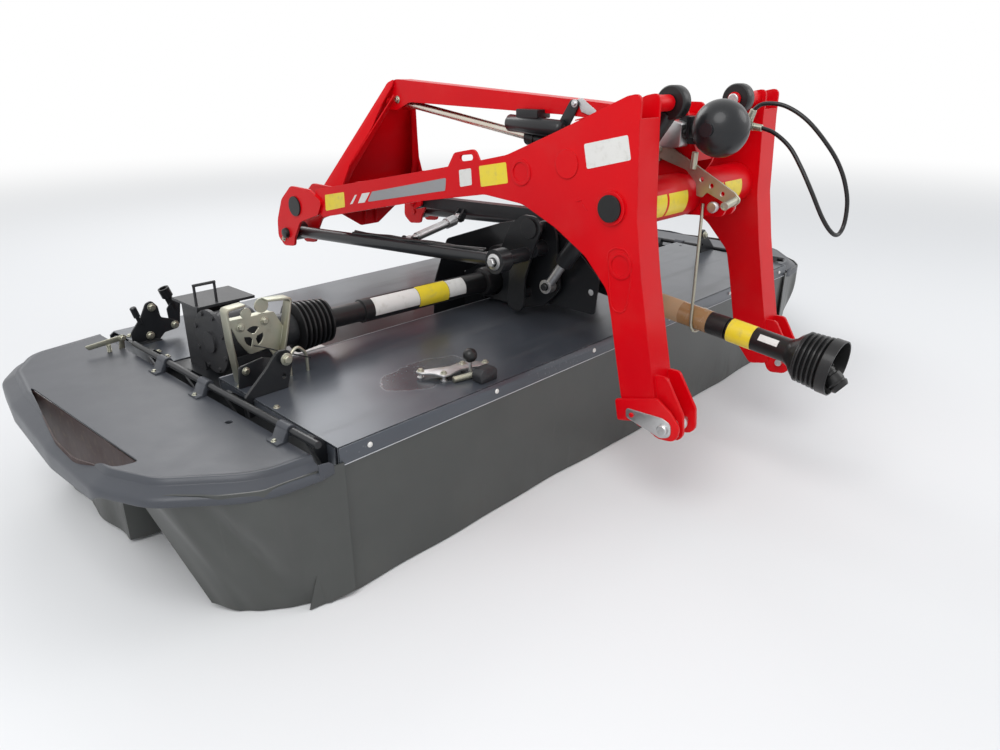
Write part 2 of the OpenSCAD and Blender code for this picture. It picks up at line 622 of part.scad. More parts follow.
strut_dir = unit(strut_foot - strut_top);
strut_tube_len = 314;
module stabiliser_tube() color(steel) {
    difference() {
        union() {
            bar(strut_top + strut_dir * 10, strut_top + strut_dir * 40, 12);
            bar(strut_top + strut_dir * 34, strut_top + strut_dir * strut_tube_len, 20);
            bar(strut_top + strut_dir * 40, strut_top + strut_dir * 100, 26);
            translate(strut_top - [0, 13, 0]) rotate([-90, 0, 0]) cylinder(r = 22, h = 26);
        }
        translate(strut_top - [0, 40, 0]) rotate([-90, 0, 0]) cylinder(r = 8 + play, h = 80);
        bar(strut_top + strut_dir * 110, strut_top + strut_dir * (strut_tube_len + 2), 15 + play);
    }
}

module stabiliser_rod() color(steel) {
    difference() {
        union() {
            bar(strut_top + strut_dir * 150, strut_foot - strut_dir * 16, 15);
            translate(strut_foot - [0, 13, 0]) rotate([-90, 0, 0]) cylinder(r = 18, h = 26);
        }
        translate(strut_foot - [0, 40, 0]) rotate([-90, 0, 0]) cylinder(r = 10, h = 80);
    }
}

// Carrier frame

plate_outline = [[1078, 1002, 20], [300, 1151, 200], [20, 1206, 120], [-218, 1257, 200], [-450, 1350, 200],
    [-741, 1474, 60],
    [-793, 1484, 46], [-793, 1380, 60], [-808, 1080, 200], [-840, 892, 200], [-886, 674, 120], [-930, 480,
        60],
    [-956, 372, 24], [-870, 352, 24], [-792, 438, 60], [-759, 584, 150], [-727, 731, 100], [-702, 830, 80],
        [-600, 935, 120],
    [-458, 1019, 120], [-300, 1085, 150], [-101, 1100, 120], [283, 1032, 200], [1033, 871, 20]];
lug_outline = rounded([[110, 1180, 0], [66, 1246, 30], [-50, 1268, 30], [-90, 1200, 30], [-120, 1150, 0]]);
eye_plate = rounded([[1273, 1002, 50], [1108, 1000, 40], [1005, 950, 24], [1049, 880, 30], [1216, 825, 60],
    [1284, 730, 70],
    [1290, 690, 40], [1385, 680, 34], [1440, 720, 34], [1432, 810, 120], [1372, 925, 60]]);
module side_plate() color(red) {
    difference() {
        union() {
            difference() {
                along_x(frame_inner_x, frame_outer_x) polygon(rounded(plate_outline));
                along_x(frame_inner_x + frame_t, frame_outer_x - frame_t)
                    polygon(rounded(inset(plate_outline, frame_t)));
                // The leg is open at its top
                along_x(frame_inner_x + frame_t, frame_outer_x - frame_t)
                    polygon([[-783, 1400], [-500, 1300], [-500, 1600], [-900, 1600], [-850, 1450]]);
            }
            along_x(frame_outer_x - frame_t, frame_outer_x) polygon(lug_outline);
            along_x(frame_outer_x - 1, frame_outer_x + 12) polygon(eye_plate);
            along_x(frame_inner_x - 12, frame_inner_x + 1) polygon(eye_plate);
            bar_x(rear_tube, 58, frame_outer_x - 4, frame_outer_x + 10);
            bar_x([-505, 1246], 50, frame_outer_x - 4, frame_outer_x + 4);
            // Pressed rings
            for (p = [[-753, 926], [-291, 1200]]) along_x(frame_outer_x - 2, frame_outer_x + 4)
                translate(p) difference() {
                circle(r = 48);
                circle(r = 36);
            }
        }
        along_x(frame_outer_x - 40, frame_outer_x + 10) polygon(rounded([[32, 1214, 11], [32, 1238, 11],
            [-40, 1247, 11], [-40, 1225, 11]]));
        bar_x(link_front, 16 + play, frame_inner_x - 20, frame_outer_x + 20);
    }
    // Clevis plates that carry the lower hitch pin
    difference() {
        for (x = [hitch_half - 48, hitch_half + 36]) along_x(x, x + 12)
            polygon(rounded([[-880, 470, 0], [-905, 560, 30], [-960, 560, 20], [-1036, 440, 30], [-1046,
                344, 36], [-955, 330, 30]]));
        bar_x(hitch_pin, hitch_pin_r + play, hitch_half - 60, hitch_half + 60);
    }
}

module cross_tubes() color(red) {
    bar_x(rear_tube, rear_tube_r, -frame_inner_x, frame_inner_x);
    bar_x(front_tube, front_tube_r, -frame_inner_x + 12, frame_inner_x - 12);
    bar_x([880, 1010], 36, -frame_inner_x, frame_inner_x);
    both_sides() {
        bar_x(relief_top, 27, 268, frame_inner_x);
        bar_x(relief_top, 18, 205, 269);
        bar_x(relief_top, 26, 200, 206);
        difference() {
            along_x(38, 50) polygon(rounded([[795, 900, 20], [848, 880, 20], [884, 892, 16], [892, 1000,
                10], [860, 1020, 10], [800, 995, 10]]));
            bar_x(upper_front, 16 + play, 30, 60);
        }
        bar_x(link_front, 16, frame_inner_x - 18, frame_outer_x + 26);
    }
    bar_x(upper_front, 16, -58, 58);
}

// Folded A shaped arch that leans back from the front tube to the apex
arch_foot = [1255, 950];
arch_lean = 22;
arch_len = 560;
arch_splay = 22;
module front_arch() color(red) {
    foot_half = 320;
    flange_len = arch_len / cos(arch_splay);
    web_top = foot_half - 440 * tan(arch_splay);
    difference() {
        union() {
            translate([0, arch_foot[0], arch_foot[1]]) rotate([arch_lean, 0, 0]) {
                along_y(-10, 0) polygon([[-foot_half, -20], [foot_half, -20], [web_top, 440], [-web_top,
                    440]]);
                for (s = [-1, 1]) translate([s * foot_half, 0, 0]) rotate([0, -s * arch_splay, 0]) {
                    translate([-6, -70, -20]) cube([12, 110, flange_len - 14]);
                    translate([s > 0 ? -46 : 0, 30, -10]) cube([46, 10, flange_len - 40]);
                }
            }
            along_y(front_tube[0] + front_tube_r - 30, front_tube[0] + front_tube_r + 8)
                polygon(rounded([[-330, 965, 10], [-330, 900, 20], [-180, 810, 20], [-60, 735, 20], [60,
                    735, 20],
                    [180, 810, 20], [330, 900, 20], [330, 965, 10]]));
            // Cheeks that join the legs to the beam's front end
            for (s = [-1, 1]) along_x(s > 0 ? 46 + seat : -110, s > 0 ? 110 : -46 - seat) difference() {
                polygon(rounded([[1092, 1330, 0], [1105, 1400, 30], [1050, 1470, 30], [985, 1450, 40],
                    [962, 1380, 40], [1010, 1310, 20]]));
                polygon(rounded([[1075, 1300, 0], [1090, 1400, 20], [1045, 1455, 20], [1035, 1455, 0],
                    [1000, 1300, 0]]));
            }
            for (s = [-1, 1]) along_x(s > 0 ? 46 + seat : -58, s > 0 ? 58 : -46 - seat)
                polygon(rounded([[1092, 1330, 0], [1105, 1400, 30], [1050, 1470, 30], [985, 1450, 40],
                    [962, 1380, 40], [1010, 1310, 20]]));
        }
        bar_x(front_tube, front_tube_r + seat, -500, 500);
        along_y(front_tube[0] - 100, front_tube[0] + front_tube_r - 1) translate([-360, 700]) square([720,
            205]);
        bar_x(apex, 16 + play, -80, 80);
        for (s = [-1, 1]) translate([s > 0 ? 58 : -88, apex[0] - 30, apex[1] - 30]) cube([30, 60, 60]);
    }
}

beam_side = rounded([[1045, 1482, 30], [955, 1508, 60], [-250, 1434, 300], [-690, 1400, 0], [-690, 1345, 0],
    [-110, 1378, 300], [864, 1402, 100], [960, 1360, 45], [1058, 1362, 50]]);
module top_beam() color(red) {
    difference() {
        along_x(-46, 46) polygon(beam_side);
        along_x(-36, 36) polygon([[1060, 1340], [1060, 1496], [930, 1490], [-240, 1422], [-700, 1386],
            [-700, 1320]]);
        bar_x(apex, 16 + play, -60, 60);
    }
    bar_x(apex, 16, -74, 74);
}

module center_bracket() color(red) {
    difference() {
        union() {
            both_sides() {
                along_x(56, 68) polygon(rounded([[-600, 1130, 0], [-700, 1150, 30], [-770, 1240, 60],
                    [-742, 1330, 60], [-700, 1440, 20],
                    [-560, 1440, 20], [-520, 1280, 100], [-560, 1130, 0]]));
                along_x(46 + seat, 57) polygon([[-690, 1350], [-690, 1396], [-580, 1404], [-580, 1354]]);
            }
            along_y(-622, -612) polygon([[-60, 1130], [60, 1130], [60, 1340], [-60, 1340]]);
            along_x(-60, 60) polygon([[-760, 1240], [-748, 1240], [-724, 1330], [-736, 1330]]);
            for (x = [-top_clevis_half - 14, top_clevis_half]) along_x(x, x + 14)
                polygon(rounded([[-700, 1196, 0], [-780, 1170, 40], [-890, 1110, 24], [-880, 1046, 24],
                    [-820, 1046, 24], [-740, 1040, 0], [-690, 1036, 0]]));
            translate([top_clevis_half + 13, -812, 1050]) cube([6 - seat, 24, 46]);
        }
        bar_x(rear_tube, rear_tube_r + seat, -200, 200);
        bar_x(top_pin, 12.5 + play, -60, 60);
    }
}

// Lower hitch pins with their ball bushes, and the top link pin with its ring
module hitch_pins() color(steel) {
    both_sides() {
        bar_x(hitch_pin, hitch_pin_r, hitch_half - 66, hitch_half + 64);
        translate([hitch_half, hitch_pin[0], hitch_pin[1]]) rotate([0, 90, 0]) rotate_extrude()
            polygon(concat([[0, 22], [0, -22]], [for (t = [-22:5.5:22]) [sqrt(28 * 28 - t * t), t]]));
        along_x(hitch_half + 48 + seat, hitch_half + 54) polygon(rounded([[-1032, 350, 12], [-962, 360, 12],
            [-962, 404, 12], [-1020, 420, 12]]));
    }
    bar_x(top_pin, 12.5, -64, 58);
    bar_x(top_pin, 20, -70, -64);
    translate([51, top_pin[0], top_pin[1] + 12.5 + seat - 22]) rotate([0, 90, 0]) rotate_extrude()
        translate([26, 0]) circle(r = 4, $fn = 16);
}

module frame_caps() color(black) both_sides() {
    bar_x(rear_tube, 46, frame_outer_x + 10, frame_outer_x + 18);
    bar_x(front_tube, 50, frame_outer_x + 12, frame_outer_x + 20);
}

module transport_lock() color(zinc) {
    along_x(-92, -84) difference() {
        polygon(rounded([[-596, 1292, 10], [-640, 1302, 14], [-940, 1148, 10], [-968, 1122, 14], [-940, 1094, 14],
            [-832, 1138, 10], [-814, 1118, 6], [-791, 1122, 6], [-785, 1168, 10], [-740, 1210, 10], [-596, 1252, 10]]));
        for (p = [[-807, 1182], [-848, 1162], [-894, 1138]]) translate(p) circle(r = 9);
    }
    bar([-86, -944, 1122], [-172, -950, 1112], 13);
    bar_x([-618, 1274], 12, -98, -84);
    along_x(-84, -68 - seat) polygon([[-620, 1232], [-596, 1232], [-596, 1272], [-620, 1272]]);
}

module shaft_hook() color(steel) {
    hook_r = 6;
    hook_z = 637.5;
    bar([52, -800, 1090], [52, -800, hook_z], hook_r);
    translate([0, -800, hook_z]) rotate([90, 0, 0]) rotate_extrude(angle = -180) translate([52, 0])
        circle(r = hook_r, $fn = 16);
    bar([-52, -800, hook_z], [-52, -800, hook_z + 28], hook_r);
}

ball_centre = [-112, -872, 1362];
module accumulator() color(black) {
    translate(ball_centre) {
        sphere(r = ball_r);
        rotate([0, 90, 0]) cylinder(r = 24, h = hose_x - 12);
        translate([hose_x - 13, 0, 0]) rotate([0, 90, 0]) cylinder(r = 20, h = 26, $fn = 6);
        rotate([0, -90, 0]) cylinder(r = 24, h = ball_r + 8);
        rotate([-90, 0, 0]) cylinder(r = 24, h = 112);
        for (u = hose_dirs) bar([hose_x, 0, 0], hose_neck * u + [hose_x, 0, 0], hose_d / 2 + 2);
    }
    // Angle that joins the ball to the middle bracket
    translate([ball_centre[0] - 34, -768, 1326]) cube([78 - seat, 12, 72]);
    translate([-68 - seat - 14, -768, 1300]) cube([14, 80, 98]);
}

// The hose leaves the fitting upwards and comes back to it from behind
hose_x = 84 - ball_centre[0];
hose_neck = 34;
hose_dirs = [unit([0, -0.35, 1]), unit([0, -1, -0.1])];
hose_root = ball_centre + [hose_x, 0, 0];
hose_points = concat([for (d = [hose_neck + seat, hose_neck + 22]) hose_root + d * hose_dirs[0]],
    [[90, -924, 1438], [100, -997, 1433], [112, -1082, 1385], [128, -1167, 1296], [144, -1213, 1221],
    [158, -1238, 1145], [164, -1245, 1085], [156, -1245, 1032], [124, -1241, 1008], [84, -1230, 1024],
    [50, -1204, 1076], [36, -1158, 1164], [42, -1108, 1238], [56, -1053, 1300], [72, -985, 1342]],
    [for (d = [hose_neck + 22, hose_neck + seat]) hose_root + d * hose_dirs[1]]);
function tangent(points, i) = let(n = len(points) - 1) unit(points[min(i + 1, n)] - points[max(i - 1, 0)]);
function ring(points, i, r, sides) = let(t = tangent(points, i), a = unit(cross(t, [1, 0, 0.2])),
    b = cross(t, a))
    [for (k = [0:sides - 1]) points[i] + r * (cos(360 * k / sides) * a + sin(360 * k / sides) * b)];
// Points on a smooth curve through the route
function smooth(points, steps) = let(n = len(points) - 1) [for (i = [0:n - 1], k = [0:steps - 1])
    let(t = k / steps, p0 = points[max(i - 1, 0)], p1 = points[i], p2 = points[i + 1],
        p3 = points[min(i + 2, n)])
    0.5 * (2 * p1 + (p2 - p0) * t + (2 * p0 - 5 * p1 + 4 * p2 - p3) * t * t + (3 * p1 - p0 - 3 * p2 + p3)
        * t * t * t),
    points[n]];
module tube(route, r, sides) {
    rings = len(route);
    points = [for (i = [0:rings - 1]) each ring(route, i, r, sides)];
    walls = [for (i = [0:rings - 2], k = [0:sides - 1])
        [i * sides + k, i * sides + (k + 1) % sides, (i + 1) * sides + (k + 1) % sides, (i + 1) * sides + k]];
    polyhedron(points, concat([[for (k = [sides - 1:-1:0]) k]], walls,
        [[for (k = [0:sides - 1]) (rings - 1) * sides + k]]), convexity = 8);
}
module hose() color(black) tube(smooth(hose_points, 3), hose_d / 2, 10);

// Cylinders

relief_dir = unit(relief_foot - relief_top);
relief_len = norm(relief_foot - relief_top);
relief_barrel_len = 780;
module relief_barrel() color(black) {
    difference() {
        union() {
            bar_x(relief_top, 46, relief_x - 27, relief_x + 27);
            bar_yz(relief_x, relief_top + relief_dir * 34, relief_top + relief_dir * relief_barrel_len,
                relief_barrel_r);
        }
        bar_x(relief_top, 18 + play, relief_x - 40, relief_x + 40);
        bar_yz(relief_x, relief_top + relief_dir * 130, relief_top + relief_dir * (relief_barrel_len + 2),
            relief_rod_r + play);
    }
}

module relief_rod() color(steel) {
    difference() {
        union() {
            bar_yz(relief_x, relief_top + relief_dir * 200, relief_foot - relief_dir * 20, relief_rod_r);
            bar_x(relief_foot, 30, relief_x - 20, relief_x + 20);
        }
        bar_x(relief_foot, relief_pin_r + 3.5, relief_x - 30, relief_x + 30);
    }
}

top_dir = unit(apex - top_foot);
top_len = norm(apex - top_foot);
top_barrel_len = 300;
module top_barrel() color(black) {
    difference() {
        union() {
            bar_x(top_foot, 30, -44, 44);
            bar_yz(0, top_foot + top_dir * 16, top_foot + top_dir * top_barrel_len, top_barrel_r);
            bar_yz(0, top_foot + top_dir * (top_barrel_len - 50), top_foot + top_dir * top_barrel_len,
                top_barrel_r + 4);
        }
        bar_x(top_foot, 12 + play, -50, 50);
        bar_yz(0, top_foot + top_dir * 60, top_foot + top_dir * (top_barrel_len + 2), top_rod_r + play);
    }
}

module top_rod() color(rod_plated) {
    difference() {
        union() {
            bar_yz(0, top_foot + top_dir * 110, apex - top_dir * 16, top_rod_r);
            bar_x(apex, 30, -18, 18);
        }
        bar_x(apex, 17, -30, 30);
    }
}

// Input shaft, hanging in its hook

function input_at(d) = input_start + d * [-cos(input_slope), -sin(input_slope)];
input_tube_len = 940;
module input_shaft() color(black) {
    difference() {
        union() {
            bar_yz(0, input_at(120), input_at(input_tube_len), input_tube_r);
            for (k = [0:6]) bar_yz(0, input_at(50 + k * 24), input_at(62 + k * 24), 70 - k * 4);
            bar_yz(0, input_at(46), input_at(220), 44);
            bar_yz(0, input_at(-12), input_at(60), 16);
            bar_x(input_start, 8, -36, 36);
        }
        bar_yz(0, input_at(400), input_at(input_tube_len + 2), 30 + play);
    }
}

tail_droop = 30;
tail_knee = input_at(1293);
function tail_at(d) = tail_knee + d * [-cos(input_slope + tail_droop), -sin(input_slope + tail_droop)];
module input_tail() color(black) {
    bar_yz(0, input_at(520), input_at(1280), 30);
    bar_yz(0, input_at(input_tube_len + 10), input_at(1130), 36);
    for (k = [0:6]) bar_yz(0, input_at(1090 + k * 22), input_at(1102 + k * 22), 46 + k * 4);
    bar_yz(0, input_at(1090), input_at(1288), 44);
    difference() {
        union() {
            bar_yz(0, tail_at(-40), tail_at(60), 40);
            bar_yz(0, tail_at(50), tail_at(170), 30);
            bar_yz(0, tail_at(96), tail_at(126), 38);
        }
        bar_yz(0, tail_at(90), tail_at(172), spline_r);
    }
}

main_beam();
rear_hood();
front_hood();
end_plates();
rear_curtain();
front_curtain();
cutterbar();
swath_boards();
tower();
shields();
center_gearbox();
side_gearbox();
gearbox_cradle();
side_shaft();
hinge_rods();
deck_adjuster();
stow_bracket();
deck_fittings();
rotor();
for (i = [0:disc_count - 1]) disc(i);
mirror([1, 0, 0]) guard();  // guard_left
guard();  // guard_right
mirror([1, 0, 0]) guard_curtain();  // guard_curtain_left
guard_curtain();  // guard_curtain_right
mirror([1, 0, 0]) lower_link(strut_lug = true);  // lower_link_left
lower_link();  // lower_link_right
upper_link();
stabiliser_tube();
stabiliser_rod();
mirror([1, 0, 0]) side_plate();  // side_plate_left
side_plate();  // side_plate_right
cross_tubes();
front_arch();
top_beam();
center_bracket();
hitch_pins();
frame_caps();
transport_lock();
shaft_hook();
accumulator();
hose();
mirror([1, 0, 0]) relief_barrel();  // relief_barrel_left
relief_barrel();  // relief_barrel_right
mirror([1, 0, 0]) relief_rod();  // relief_rod_left
relief_rod();  // relief_rod_right
top_barrel();
top_rod();
input_shaft();
input_tail();
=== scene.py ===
import math

import bpy
from mathutils import Matrix, Vector


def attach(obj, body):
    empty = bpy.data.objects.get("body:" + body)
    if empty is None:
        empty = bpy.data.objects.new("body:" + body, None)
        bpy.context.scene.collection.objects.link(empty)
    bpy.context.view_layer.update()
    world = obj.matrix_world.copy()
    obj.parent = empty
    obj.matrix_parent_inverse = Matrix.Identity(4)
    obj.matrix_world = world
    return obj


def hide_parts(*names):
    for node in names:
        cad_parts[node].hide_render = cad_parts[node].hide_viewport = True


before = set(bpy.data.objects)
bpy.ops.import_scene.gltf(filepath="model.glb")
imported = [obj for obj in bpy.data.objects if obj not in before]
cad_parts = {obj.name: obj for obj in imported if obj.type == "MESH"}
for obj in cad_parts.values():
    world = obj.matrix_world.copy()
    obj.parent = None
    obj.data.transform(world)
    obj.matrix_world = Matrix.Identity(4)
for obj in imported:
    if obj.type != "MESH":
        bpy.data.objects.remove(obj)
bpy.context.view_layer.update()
scene = bpy.context.scene
scene.view_settings.view_transform = "Standard"
print("frame loaded:", len(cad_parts), "nodes")


# Camera

view = {"place": (-2.629, -2.184, 1.55), "turn": (67.87, 0, -46.80), "lens": 27}
bpy.ops.object.camera_add(location=view["place"], rotation=[math.radians(a) for a in view["turn"]])
camera = bpy.context.object
camera.name = "camera"
camera.data.lens = view["lens"]
camera.data.sensor_width = 36
scene.camera = camera


# Finishes

class Wire:
    def __init__(self, finish, socket):
        self.finish = finish
        self.socket = socket

    def maths(self, operation, *values):
        return self.finish.node("ShaderNodeMath", {"operation": operation}, values)

    def __add__(self, other):
        return self.maths("ADD", self, other)

    def __mul__(self, other):
        return self.maths("MULTIPLY", self, other)

    def __sub__(self, other):
        return self.maths("SUBTRACT", self, other)

    def __rsub__(self, other):
        return self.maths("SUBTRACT", other, self)

    __radd__ = __add__
    __rmul__ = __mul__

    def ramp(self, low, high):  # 0 at low, 1 at high
        return self.finish.node("ShaderNodeMapRange", {"interpolation_type": "SMOOTHSTEP"},
                                {"Value": self, "From Min": low, "From Max": high})


class Finish:
    def __init__(self, name):
        self.material = bpy.data.materials.new(name)
        self.material.use_nodes = True
        self.tree = self.material.node_tree
        self.tree.nodes.clear()
        self.place = self.node("ShaderNodeTexCoord", {}, {}, "Object")

    def node(self, kind, settings, values, output=0):
        made = self.tree.nodes.new(kind)
        for key, value in settings.items():
            setattr(made, key, value)
        for key, value in (values.items() if isinstance(values, dict) else enumerate(values)):
            if isinstance(value, Wire):
                self.tree.links.new(value.socket, made.inputs[key])
            else:
                made.inputs[key].default_value = value
        return Wire(self, made.outputs[output])

    def noise(self, scale, detail=3, stretch=None, rough=0.55):
        place = self.place
        if stretch:
            place = self.node("ShaderNodeMapping", {}, {"Vector": place, "Scale": stretch})
        values = {"Vector": place, "Scale": scale, "Detail": detail, "Roughness": rough}
        return self.node("ShaderNodeTexNoise", {}, values)

    def cells(self, scale, feature="F1"):
        return self.node("ShaderNodeTexVoronoi", {"feature": feature}, {"Vector": self.place, "Scale": scale})

    def axis(self, letter):
        return self.node("ShaderNodeSeparateXYZ", {}, [self.place], letter)

    def near(self, centre, reach, stretch=(1, 1, 1)):  # 1 at the centre, 0 beyond reach
        moved = self.node("ShaderNodeVectorMath", {"operation": "SUBTRACT"}, [self.place, centre])
        scaled = self.node("ShaderNodeVectorMath", {"operation": "MULTIPLY"}, [moved, stretch])
        far = self.node("ShaderNodeVectorMath", {"operation": "LENGTH"}, [scaled], "Value")
        return far.ramp(reach, reach * 0.5)

    def blend(self, share, first, second):
        first, second = [c if isinstance(c, Wire) else (*c, 1) for c in (first, second)]
        return self.node("ShaderNodeMix", {"data_type": "RGBA"}, {0: share, 6: first, 7: second}, 2)

    def edges(self, radius):  # 1 on edges that the wear reaches
        soft = self.node("ShaderNodeBevel", {"samples": 4}, {"Radius": radius})
        flat = self.node("ShaderNodeNewGeometry", {}, {}, "Normal")
        return soft, 1 - self.node("ShaderNodeVectorMath", {"operation": "DOT_PRODUCT"}, [soft, flat],
                                   "Value")

    def bump(self, height, distance, strength=1.0, under=None):
        values = {"Height": height, "Distance": distance, "Strength": strength}
        if under:
            values["Normal"] = under
        return self.node("ShaderNodeBump", {}, values)

    def finished(self, colour, rough, metallic=0.0, coat=0.0, coatRough=0.1, normal=None, specular=0.5,
                 alpha=1.0):
        values = {"Roughness": rough, "Metallic": metallic, "Coat Weight": coat, "Coat Roughness": coatRough,
                  "Specular IOR Level": specular, "Alpha": alpha,
                  "Base Color": colour if isinstance(colour, Wire) else (*colour, 1)}
        if normal:
            values["Normal"] = normal
        shader = self.node("ShaderNodeBsdfPrincipled", {}, values)
        self.output(shader)
        return self.material

    def output(self, shader):
        end = self.tree.nodes.new("ShaderNodeOutputMaterial")
        self.tree.links.new(shader.socket, end.inputs["Surface"])


dustColour = (0.30, 0.27, 0.21)


def paintFinish(name, look):
    paint = Finish(name)
    broad = paint.noise(look["broad"], 3)
    smudge = paint.noise(look["broad"] * 5, 4)
    soft, edge = paint.edges(look["edge"])
    worn = edge.ramp(0.02, 0.25) * paint.noise(38, 3).ramp(0.5, 0.66) * look["wear"]
    coarse = paint.noise(5.5, 5).ramp(0.5, 0.78)
    fine = paint.noise(70, 4).ramp(0.55, 0.75)
    dust = (coarse * 0.6 + fine * 0.4) * look["dust"]
    colour = paint.blend(broad.ramp(0.3, 0.7) * look["fade"], look["colour"], look["faded"])
    colour = paint.blend(dust, colour, dustColour)
    colour = paint.blend(worn, colour, look["bare"])
    rough = smudge * 0.12 + dust * 0.35 + (look["rough"] - 0.05)
    peel = paint.noise(look["peel"], 2)
    normal = paint.bump(peel, 0.0004, look["peelDepth"], soft)
    return paint.finished(colour, rough, look["metallic"], look["coat"], look["coatRough"], normal,
                          look["specular"])


def sheetFinish(name, look):
    sheet = Finish(name)
    broad = sheet.noise(look["broad"], 3, (0.35, 1, 1))
    soft, edge = sheet.edges(0.003)
    drops = sheet.cells(look["drops"]).ramp(0.24, 0.16) * sheet.noise(3.1, 3).ramp(0.5, 0.62)
    streaks = sheet.noise(9, 5, (0.12, 1, 1)).ramp(0.5, 0.75)
    puddle = sheet.near(*look["puddle"]) + (sheet.noise(13, 5) - 0.5) * 1.3
    wet = puddle.ramp(0.34, 0.42)
    ring = puddle.ramp(0.3, 0.36) * puddle.ramp(0.48, 0.4)
    colour = sheet.blend(broad.ramp(0.3, 0.75), look["colour"], look["faded"])
    colour = sheet.blend(streaks * look["dust"], colour, dustColour)
    colour = sheet.blend(wet * 0.4, colour, look["wet"])
    colour = sheet.blend((ring * 0.35 + drops * 0.25).ramp(0, 1), colour, look["salt"])
    colour = sheet.blend(edge.ramp(0.03, 0.3) * sheet.noise(30, 3).ramp(0.45, 0.6) * 0.5, colour,
                         look["bare"])
    rough = broad * 0.16 + streaks * 0.12 + drops * 0.1 + look["rough"] - wet * 0.08
    dents = sheet.noise(2.3, 2)
    normal = sheet.bump(dents, 0.02, 0.35, sheet.bump(sheet.noise(520, 2), 0.0003, 0.25, soft))
    return sheet.finished(colour, rough, look["metallic"], look["coat"], 0.22, normal, 0.45)


def rubberFinish(name, look):
    rubber = Finish(name)
    broad = rubber.noise(2.2, 4)
    height = rubber.axis("Z")
    splash = height.ramp(0.30, 0.0) * rubber.noise(14, 6, (1, 1, 0.4)).ramp(0.42, 0.72)
    scuffs = rubber.noise(26, 6, (1, 1, 0.12)).ramp(0.58, 0.75)
    beads = rubber.cells(95).ramp(0.2, 0.12) * rubber.noise(4, 2).ramp(0.56, 0.66)
    colour = rubber.blend(broad.ramp(0.3, 0.7), look["colour"], look["faded"])
    colour = rubber.blend((splash * look["mud"]).ramp(0, 1.1), colour, dustColour)
    colour = rubber.blend((scuffs * 0.22 + beads * 0.3).ramp(0, 1), colour, look["scuff"])
    rough = broad * 0.14 + splash * 0.2 + look["rough"]
    weave = rubber.noise(340, 2) * 0.5 + rubber.noise(30, 3) * 0.5
    normal = rubber.bump(weave, 0.0006, 0.5)
    return rubber.finished(colour, rough, 0.0, 0.0, 0.1, normal, 0.6)


def metalFinish(name, look):
    metal = Finish(name)
    patches = metal.noise(look["patch"], 5)
    grain = metal.noise(look["grain"], 3, look["stretch"])
    soft, edge = metal.edges(0.002)
    colour = metal.blend(patches.ramp(0.3, 0.7), look["colour"], look["tint"])
    colour = metal.blend(metal.noise(23, 5).ramp(0.56, 0.76) * look["stain"], colour, look["dirt"])
    colour = metal.blend(edge.ramp(0.03, 0.3) * 0.5, colour, look["bright"])
    rough = grain * 0.18 + patches * 0.1 + look["rough"]
    normal = metal.bump(grain, 0.0003, look["relief"], soft)
    return metal.finished(colour, rough, look["metallic"], 0.0, 0.1, normal)


def stickerFinish(name, colour, rough):
    sticker = Finish(name)
    soil = sticker.noise(34, 5).ramp(0.48, 0.78)
    fade = sticker.noise(9, 2).ramp(0.3, 0.7)
    tint = sticker.blend(fade * 0.25, colour, tuple(c * 0.8 + 0.1 for c in colour))
    tint = sticker.blend(soil * 0.3, tint, dustColour)
    normal = sticker.bump(sticker.noise(160, 2), 0.0002, 0.3)
    return sticker.finished(tint, soil * 0.2 + rough, 0.0, 0.0, 0.1, normal)


paintLook = {"colour": (0.66, 0.0, 0.004), "faded": (0.56, 0.0, 0.006), "bare": (0.80, 0.16, 0.14),
             "broad": 1.8, "fade": 0.7, "edge": 0.004, "wear": 0.2, "dust": 0.05, "rough": 0.34,
             "peel": 260, "peelDepth": 0.3, "metallic": 0.0, "coat": 0.06, "coatRough": 0.06,
             "specular": 0.16}
blackLook = {**paintLook, "colour": (0.010, 0.011, 0.013), "faded": (0.018, 0.019, 0.021),
             "bare": (0.16, 0.16, 0.16), "rough": 0.32, "coat": 0.18, "coatRough": 0.1, "dust": 0.025,
             "wear": 0.5, "edge": 0.003, "specular": 0.3}
castLook = {**blackLook, "colour": (0.018, 0.019, 0.021), "faded": (0.028, 0.028, 0.031), "rough": 0.5,
            "peel": 90, "peelDepth": 0.9, "dust": 0.06}
plasticLook = {**blackLook, "colour": (0.007, 0.007, 0.008), "faded": (0.012, 0.012, 0.012), "rough": 0.40,
               "peel": 140, "peelDepth": 0.5, "wear": 0.12, "dust": 0.03}
hoseLook = {**plasticLook, "colour": (0.008, 0.008, 0.009), "rough": 0.34, "dust": 0.02}
guardLook = {**paintLook, "colour": (0.052, 0.056, 0.066), "faded": (0.064, 0.069, 0.080),
             "bare": (0.2, 0.2, 0.21), "broad": 2.4, "rough": 0.36, "coat": 0.0, "dust": 0.03, "wear": 0.25,
             "peel": 420, "peelDepth": 0.3, "specular": 0.35}
deckLook = {"colour": (0.060, 0.068, 0.082), "faded": (0.090, 0.099, 0.116), "broad": 2.0, "drops": 60,
            "dust": 0.06, "wet": (0.05, 0.052, 0.055), "salt": (0.42, 0.42, 0.42), "bare": (0.4, 0.4, 0.4),
            "rough": 0.24, "metallic": 0.35, "coat": 0.25,
            "puddle": ((-0.97, -0.27, 0.535), 0.20, (0.8, 1.5, 0.4))}  # centre, reach, stretch
curtainLook = {"colour": (0.042, 0.045, 0.042), "faded": (0.056, 0.059, 0.055), "scuff": (0.14, 0.14, 0.135),
               "mud": 0.14, "rough": 0.27}
steelLook = {"colour": (0.52, 0.52, 0.53), "tint": (0.62, 0.62, 0.62), "bright": (0.8, 0.8, 0.8),
             "dirt": (0.2, 0.17, 0.13), "patch": 9, "grain": 80, "stretch": (1, 1, 1), "stain": 0.4,
             "rough": 0.28, "relief": 0.5, "metallic": 1.0}
